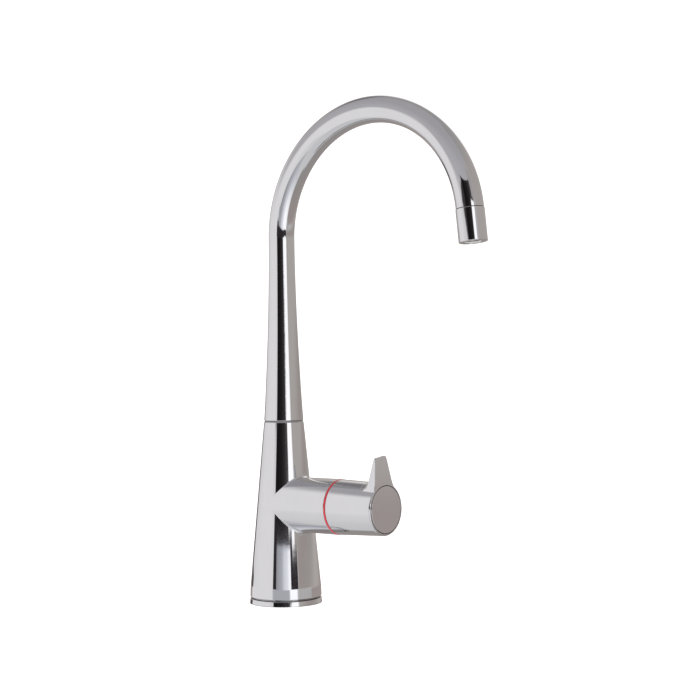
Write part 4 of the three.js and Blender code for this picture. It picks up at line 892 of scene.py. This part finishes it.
def fin_side():
    """The right half of the fin's outline from the rim to the middle of its tip, as (angle,
    radius)."""

    def half(height):
        return FIN_TIP_HALF + FIN_TAPER * (FIN_REACH - height)

    sine, cosine = math.sin(FIN_BLEND_ANGLE), math.cos(FIN_BLEND_ANGLE)
    blend_top = RIM + FIN_BLEND_HEIGHT
    knee = (RIM - half(0) * cosine) / (sine - FIN_TAPER * cosine)
    corner = FIN_REACH - FIN_CORNER
    points = bend(
        Vector((RIM * cosine, RIM * sine)),
        Vector((half(knee), knee)),
        Vector((half(blend_top), blend_top)),
        40,
    )
    points += bend(
        Vector((half(corner), corner)),
        Vector((half(FIN_REACH), FIN_REACH)),
        Vector((half(FIN_REACH) - FIN_CORNER, FIN_REACH)),
        24,
    )
    points.append(Vector((0, FIN_REACH)))
    fine = []
    for a, b in zip(points, points[1:]):
        steps = max(int((b - a).length / 0.1), 1)
        fine += [a.lerp(b, i / steps) for i in range(steps)]
    fine.append(points[-1])
    return [(math.atan2(point.y, point.x), point.length) for point in fine]


FIN_SIDE = fin_side()


def looked_up(table, value):
    """The second value of the table's pairs where the first reaches value, between two pairs."""
    low, high = 0, len(table) - 1
    while high - low > 1:
        middle = (low + high) // 2
        if table[middle][0] <= value:
            low = middle
        else:
            high = middle
    (a, b), (c, d) = table[low], table[high]
    share = min(max((value - a) / (c - a), 0), 1)
    return b + (d - b) * share


def outline_radius(angle):
    """How far the handle's front outline is from the axis, at an angle from +X."""
    folded = angle % (2 * math.pi)
    if folded > math.pi / 2:
        folded = math.pi - folded
    return RIM if folded < FIN_BLEND_ANGLE else looked_up(FIN_SIDE, folded)


ROOT_START = HANDLE_END - FIN_ROOT_THICKNESS
HEEL_START = ROOT_START - FIN_HEEL
TIP_START = HANDLE_END - FIN_TIP_THICKNESS
HEEL_CURVE = [
    (point.x, point.y)
    for point in bend(
        Vector((HEEL_START, barrel_radius(HEEL_START) - CLEARANCE)),
        Vector((ROOT_START - 1, barrel_radius(ROOT_START))),
        Vector((ROOT_START, HANDLE_FRONT + FIN_ROOT_HEIGHT)),
        60,
    )
]


def back_radius(along):
    """How far the fin's back is from the axis at a distance along the arm."""
    if along < HEEL_START:
        return barrel_radius(along) - CLEARANCE - (HEEL_START - along)
    if along < ROOT_START:
        return looked_up(HEEL_CURVE, along)
    rise = (FIN_REACH - HANDLE_FRONT - FIN_ROOT_HEIGHT) / (TIP_START - ROOT_START)
    reached = HANDLE_FRONT + FIN_ROOT_HEIGHT + rise * (along - ROOT_START)
    return reached if along < TIP_START else reached + TIP_STEEPNESS * (along - TIP_START)


def lesser(a, b, blend):
    """The smaller of two lengths, eased where they are alike."""
    near = max(blend - abs(a - b), 0) / blend
    return min(a, b) - near * near * blend / 4


def edge_drop(along, rounding):
    """How far a rounded front edge has drawn in at a distance along the arm."""
    into = min(max(along - (HANDLE_END - rounding), 0), rounding)
    return rounding - math.sqrt(rounding * rounding - into * into)


def handle_radius(angle, along):
    barrel = barrel_radius(along) - edge_drop(along, HANDLE_EDGE)
    fin = outline_radius(angle) - edge_drop(along, FIN_EDGE)
    fin = lesser(fin, back_radius(along), FIN_BACK_BLEND)
    return -lesser(-barrel, -fin, FIN_FOOT_BLEND)


def handle_point(angle, along):
    radius = handle_radius(angle, along)
    return Vector((radius * math.cos(angle), radius * math.sin(angle), along))


def handle_corner(angle, along):
    """A point of the handle's skin with its normal."""
    small = 1e-3
    if along > HANDLE_END - 1e-6:
        return handle_point(angle, along), Vector((0, 0, 1))
    ahead = min(along + small, HANDLE_END - 1e-5)
    round_it = handle_point(angle + small, along) - handle_point(angle - small, along)
    along_it = handle_point(angle, ahead) - handle_point(angle, along - small)
    return handle_point(angle, along), round_it.cross(along_it).normalized()


EDGE_STEPS = 8
alongs = spread(
    HANDLE_START + EDGE,
    (HEEL_START - 1, 8),
    (ROOT_START - 1.5, 14),
    (ROOT_START, 12),
    (TIP_START, 44),
    (HANDLE_END - HANDLE_EDGE, 3),
    (HANDLE_END - FIN_EDGE, EDGE_STEPS),
)
for turn in range(1, EDGE_STEPS + 1):
    bent = math.sin(math.pi / 2 * turn / EDGE_STEPS)
    alongs.append(HANDLE_END - FIN_EDGE + FIN_EDGE * bent)
# The points lie closest together round the fin.
handle_angles = [math.radians(turn) for turn in spread(30, (150, 300), (388, 119), (389, 1))]
skin_rows = [[handle_corner(angle, along) for angle in handle_angles] for along in alongs]
front = Vector((0, 0, 1))
front_rows = [[(point, front) for point, _ in skin_rows[-1]]]
# The first and last corners only lead the outline in and out, and their spans are left off.
inside = rounded(
    [
        (20, HANDLE_END),
        (CAP_RADIUS + CLEARANCE + CAP_GAP, HANDLE_END, CAP_EDGE),
        (CAP_RADIUS + CLEARANCE + CAP_GAP, CAP_SEAT),
        (WELL_RADIUS, CAP_SEAT, FINE_EDGE),
        (WELL_RADIUS, WEB_FRONT),
        (SCREW_PASSAGE, WEB_FRONT, FINE_EDGE),
        (SCREW_PASSAGE, WEB_BACK),
        (HUB_BORE, WEB_BACK),
        (HUB_BORE, HUB_START, EDGE),
        (HUB_RADIUS, HUB_START, EDGE),
        (HUB_RADIUS, WEB_BACK),
        (HANDLE_BORE, WEB_BACK),
        (HANDLE_BORE, HANDLE_START, FINE_EDGE),
        (HANDLE_BACK, HANDLE_START, EDGE),
        (HANDLE_BACK, HANDLE_START + 1),
    ],
    closed=False,
)[1:-1]
inside_grids = turned(inside, handle_angles)
front_rows.append([(point, front) for point, _ in inside_grids[0][0]])
skin_rows[0] = inside_grids[-1][-1]
lever = skin("lever_handle_cast", [skin_rows, front_rows, *inside_grids], HANDLE_FRAME)
fit(lever, "handle", "chrome", chrome, "lever_handle")

# ---------------------------------------------------------------- end cap
# A turned brass cap, faced flat, polished and chromed. It plugs into the handle's front over the
# screw.
CAP_END = 89.7
CAP_START = 87.5
PLUG_START = 83.5
PLUG_RADIUS = 13.5
PLUG_BORE = 11.7
GROOVE_RADIUS = 12.35
GROOVE_START = 84.5
GROOVE_END = 86.5
cap_outline = [
    (0, CAP_START),
    (PLUG_BORE, CAP_START),
    (PLUG_BORE, PLUG_START),
    (PLUG_RADIUS, PLUG_START, EDGE),
    (PLUG_RADIUS, GROOVE_START),
    (GROOVE_RADIUS, GROOVE_START),
    (GROOVE_RADIUS, GROOVE_END),
    (PLUG_RADIUS, GROOVE_END),
    (PLUG_RADIUS, CAP_START),
    (CAP_RADIUS - CAP_GAP, CAP_START),
    (CAP_RADIUS - CAP_GAP, CAP_END, 0.4),
    (0, CAP_END),
]
end_cap = skin("end_cap_turned", turned(rounded(cap_outline), circle), HANDLE_FRAME)
fit(end_cap, "handle", "chrome", chrome, "end_cap")

# ---------------------------------------------------------------- stage
# A pale floor under soft studio light. The chrome mirrors a light tent: a grey roof, a bright table
# in front, a softbox behind, a white reflector, and the dark gap that the camera looks through.
RIGHT = Vector((0.6376, -0.7703, 0)).normalized()
TOWARDS = Vector((RIGHT.y, -RIGHT.x, 0))
TENT_LIGHT = 1.28

world = bpy.data.worlds.new("light_tent")
world.use_nodes = True
tree = world.node_tree
tree.nodes.clear()
ray = add_node(tree, "TexCoord").outputs["Generated"]
rightward = add_node(tree, "VectorMath", {0: ray, 1: RIGHT}, operation="DOT_PRODUCT")
nearward = add_node(tree, "VectorMath", {0: ray, 1: TOWARDS}, operation="DOT_PRODUCT")
both = {0: rightward.outputs["Value"], 1: nearward.outputs["Value"]}
across = add_node(tree, "Math", both, operation="ARCTAN2").outputs["Value"]
split = add_node(tree, "SeparateXYZ", {"Vector": ray}).outputs
height = add_node(tree, "Math", {0: split["Z"]}, operation="ARCSINE").outputs["Value"]


def laid_over(beneath, colour, value, start, end):
    """A colour laid over what lies beneath, more and more while the value goes from start to
    end."""
    run = {"Value": value, "From Min": start, "From Max": end}
    cover = add_node(tree, "MapRange", run, interpolation_type="SMOOTHSTEP")
    both = {"Factor": cover.outputs["Result"], "A": beneath, "B": colour}
    return add_node(tree, "Mix", both, data_type="RGBA").outputs["Result"]


def by_angle(value, *stops):
    """A colour that runs through the stops, each an angle in degrees and a colour."""
    colour = linear(stops[0][1])
    for (start, _), (end, shade) in zip(stops, stops[1:]):
        colour = laid_over(colour, linear(shade), value, math.radians(start), math.radians(end))
    return colour


def faded(mask, value, start, end):
    """The mask, cleared where the value is at start and whole where it is at end."""
    run = {"Value": value, "From Min": start, "From Max": end}
    inside = add_node(tree, "MapRange", run, interpolation_type="SMOOTHSTEP")
    both = {0: mask, 1: inside.outputs["Result"]}
    return add_node(tree, "Math", both, operation="MULTIPLY").outputs["Value"]


def patch(beneath, colour, sides, low, high, soft, lean=0.0):
    """Paints a patch of the tent over what lies beneath. Its sides are angles from the camera,
    positive to the right, and low and high are elevations, all in degrees. soft is how far its
    sides and its two other edges fade. The high edge climbs by lean for each degree to the
    right."""
    tilted = {0: across, 1: -lean, 2: height}
    tilted = add_node(tree, "Math", tilted, operation="MULTIPLY_ADD").outputs["Value"]
    mask = 1.0
    for value, stop, width in (
        (across, sides[0], soft[0]),
        (across, sides[1], -soft[0]),
        (height, low, soft[1]),
        (tilted, high, -soft[1]),
    ):
        mask = faded(mask, value, math.radians(stop - width), math.radians(stop + width))
    both = {"Factor": mask, "A": beneath, "B": colour}
    return add_node(tree, "Mix", both, data_type="RGBA").outputs["Result"]


# The tent's walls: cool white on the left and a warmer grey on the right, both greyer towards the
# roof.
left_side = by_angle(
    height,
    (-60, "#bfbfc1"),
    (-30, "#cccbcc"),
    (-8, "#d6d4d5"),
    (2, "#d5d3d4"),
    (16, "#a7a5a8"),
    (60, "#9a989b"),
)
right_side = by_angle(
    height,
    (-50, "#8c8886"),
    (-12, "#918986"),
    (-5.6, "#978e8b"),
    (-2.5, "#a7a29f"),
    (0.5, "#96908c"),
    (2.5, "#948c89"),
    (5, "#a39e9a"),
    (30, "#9f9996"),
    (70, "#908e8e"),
)
tent = laid_over(left_side, right_side, split["X"], 0.06, 0.26)
tent = patch(tent, right_side, sides=(45, 130), low=-58, high=75, soft=(2, 4))

# The dark gap that the camera looks through, in two parts, with a grey panel beside it.
gap = by_angle(
    across,
    (-60, "#3d393b"),
    (-45, "#3a3638"),
    (-33, "#151314"),
    (-12, "#1c1a1b"),
    (2, "#2b2829"),
    (15, "#454042"),
)
tent = patch(tent, gap, sides=(-64, -37), low=8.0, high=35.2, soft=(1.5, 0.6), lean=0.43)
tent = patch(tent, gap, sides=(-38.5, 30), low=4.0, high=28.2, soft=(1.2, 0.6), lean=0.2)
tent = patch(tent, linear("#9a9494"), sides=(19, 40), low=20, high=40, soft=(2.5, 1.5))

# The gap between the table and the tent, and the white wall to the right of the camera.
white = linear("#fefdff")
for colour, sides, low, high, soft in (
    (linear("#2b272a"), (-40.5, 44), -1.2, 4.7, (1.2, 0.15)),
    (right_side, (36.5, 46), 3.35, 4.8, (1.2, 0.15)),
    (white, (27, 37), 3.7, 4.8, (1.2, 0.15)),
    (white, (15, 42), 4.6, 6.0, (1.2, 0.15)),
    (white, (21, 44.5), 5.7, 12, (1.5, 0.5)),
    (white, (8.5, 29.5), 12, 18, (1.5, 1)),
):
    tent = patch(tent, colour, sides, low, high, soft)

# The table, brightest on its right and greyer near the tap, and two grey strips along its edge.
table = by_angle(across, (-32, "#8a8a8e"), (-14, "#a3a4aa"), (2, "#d2d3da"), (20, "#fbfbff"))
table = laid_over(table, linear("#b4b4ba"), height, math.radians(-5), math.radians(-60))
tent = patch(tent, table, sides=(-34, 39.5), low=-47, high=-1.9, soft=(1.5, 0.4))
tent = patch(tent, linear("#a4a5aa"), sides=(-41, 15), low=-5.8, high=-2.3, soft=(3, 0.8))
tent = patch(tent, linear("#aba9a8"), sides=(42, 94), low=-6, high=-1.5, soft=(1.5, 1.0))

# A dark strip and a grey one far round on the left, and the softbox behind the tap on the right.
tent = patch(tent, linear("#3c3b3e"), sides=(-156, -132), low=-5.5, high=0.5, soft=(3, 1.0))
tent = patch(tent, linear("#757377"), sides=(-172, -136), low=37, high=55, soft=(6, 4))
SOFTBOX_TURN, SOFTBOX_RISE = math.radians(67), math.radians(33)
softbox = (math.sin(SOFTBOX_TURN), math.cos(SOFTBOX_TURN), math.tan(SOFTBOX_RISE))
both = {0: ray, 1: Vector(softbox).normalized()}
nearness = add_node(tree, "VectorMath", both, operation="DOT_PRODUCT").outputs["Value"]
rim, core = math.cos(math.radians(24)), math.cos(math.radians(6))
tent = laid_over(tent, linear("#ffffff"), nearness, rim, core)

seen = add_node(tree, "LightPath").outputs["Is Camera Ray"]
both = {"Factor": seen, "A": tent, "B": linear("#ffffff")}
backdrop = add_node(tree, "Mix", both, data_type="RGBA").outputs["Result"]
shine = add_node(tree, "Background", {"Color": backdrop, "Strength": TENT_LIGHT})
add_node(tree, "OutputWorld", {"Surface": shine.outputs["Background"]})
bpy.context.scene.world = world

FLOOR_SIZE = 40
bpy.ops.mesh.primitive_plane_add(size=FLOOR_SIZE)
floor = bpy.context.object
floor.name = "studio_floor"
floor.visible_glossy = False
floor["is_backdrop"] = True
floor_paint, tree = new_material("pale_floor_paint")
paint = {
    "Base Color": linear("#f4f4f4"),
    "Roughness": 0.8,
    "Emission Color": linear("#ffffff"),
    "Emission Strength": 0.75,
}
shader = add_node(tree, "BsdfPrincipled", paint)
add_node(tree, "OutputMaterial", {"Surface": shader.outputs["BSDF"]})
floor.data.materials.append(floor_paint)


def studio_card(name, turn, distance, sides, heights):
    """A flat card for reflections alone, upright at a distance from the tap. turn is in degrees
    from +Y towards -X, and the sizes are in metres. Returns its material's tree and the position on
    it."""
    (left, right), (bottom, top) = sides, heights
    corners = [(left, 0, bottom), (right, 0, bottom), (right, 0, top), (left, 0, top)]
    mesh = bpy.data.meshes.new(name)
    mesh.from_pydata(corners, [], [(0, 1, 2, 3)])
    made = placed(name, mesh)
    made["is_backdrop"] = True
    turned_round = Matrix.Rotation(math.radians(turn), 4, "Z")
    made.matrix_world = turned_round @ Matrix.Translation((0, distance, 0))
    for ray_kind in ("camera", "diffuse", "shadow"):
        setattr(made, "visible_" + ray_kind, False)
    cloth, tree = new_material(name)
    mesh.materials.append(cloth)
    place = add_node(tree, "TexCoord").outputs["Object"]
    return tree, add_node(tree, "SeparateXYZ", {"Vector": place}).outputs


def glowing(colour, *fades):
    """Lights the card, and clears it where a value goes from full to clear."""
    cover = 1.0
    for value, full, clear in fades:
        cover = faded(cover, value, clear, full)
    bare = add_node(tree, "BsdfTransparent").outputs["BSDF"]
    light = {"Color": colour, "Strength": TENT_LIGHT}
    glow = add_node(tree, "Emission", light).outputs["Emission"]
    layered = add_node(tree, "MixShader", {0: cover, 1: bare, 2: glow})
    add_node(tree, "OutputMaterial", {"Surface": layered.outputs["Shader"]})


def bowed(along, upward, bow):
    """The height on a card above an edge that sinks on both sides by bow for each squared metre."""
    bent = add_node(tree, "Math", {0: along, 1: bow}, operation="MULTIPLY")
    both = {0: along, 1: bent.outputs["Value"], 2: upward}
    return add_node(tree, "Math", both, operation="MULTIPLY_ADD").outputs["Value"]


# A white cloth reflector close to the tap on the camera's left, greyer towards its far end.
tree, place = studio_card("white_reflector", 45, 0.22, sides=(-0.2, 0.36), heights=(0, 0.52))
top = bowed(place["X"], place["Z"], -2.4)
cloth_white = laid_over(linear("#d6d4d5"), linear("#cac8ca"), place["X"], 0.0, 0.3)
glowing(cloth_white, (top, 0.27, 0.385), (place["X"], 0.3, 0.36), (place["X"], -0.15, -0.19))

# The table's edge on the camera's side, bright on its right as the rest of the table is.
camera_turn = math.degrees(math.atan2(TOWARDS.y, TOWARDS.x)) - 90
tree, place = studio_card("table_edge", camera_turn, 2.74, sides=(-1.3, 1.7), heights=(-0.1, 0.28))
top = bowed(place["X"], place["Z"], -0.005)
table_white = linear("#fbfbff")
for start, end, shade in ((-1.0, -0.1, "#d2d3da"), (-0.1, 0.68, "#a3a4aa"), (0.68, 1.7, "#8a8a8e")):
    table_white = laid_over(table_white, linear(shade), place["X"], start, end)
glowing(table_white, (top, 0.235, 0.24), (place["X"], 1.5, 1.6), (place["X"], -0.92, -1.02))

key_data = bpy.data.lights.new("key_softbox", "SUN")
key_data.energy = 1.2
key_data.angle = math.radians(60)
key = placed("key_softbox", key_data)
key.rotation_euler = (math.radians(25), math.radians(-20), 0)
key.visible_glossy = False

# The camera stands in front of the tap and to one side, a little below its middle, almost level.
CAMERA_PLACE = Vector((-0.7615, -0.6905, 0.1579))
CAMERA_RIGHT = Vector((0.6376, -0.7703, -0.0134))
CAMERA_UP = Vector((-0.0035, -0.0203, 0.9998))
camera_data = bpy.data.cameras.new("camera")
camera_data.lens = 76.02
camera_data.sensor_width = 36
camera = placed("camera", camera_data)
back = CAMERA_RIGHT.cross(CAMERA_UP)
axes = Matrix((CAMERA_RIGHT, back.cross(CAMERA_RIGHT), back)).transposed()
camera.matrix_world = Matrix.Translation(CAMERA_PLACE) @ axes.to_4x4()
bpy.context.scene.camera = camera
bpy.context.scene.view_settings.view_transform = "Standard"

low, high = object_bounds()
list(low)
list(high)
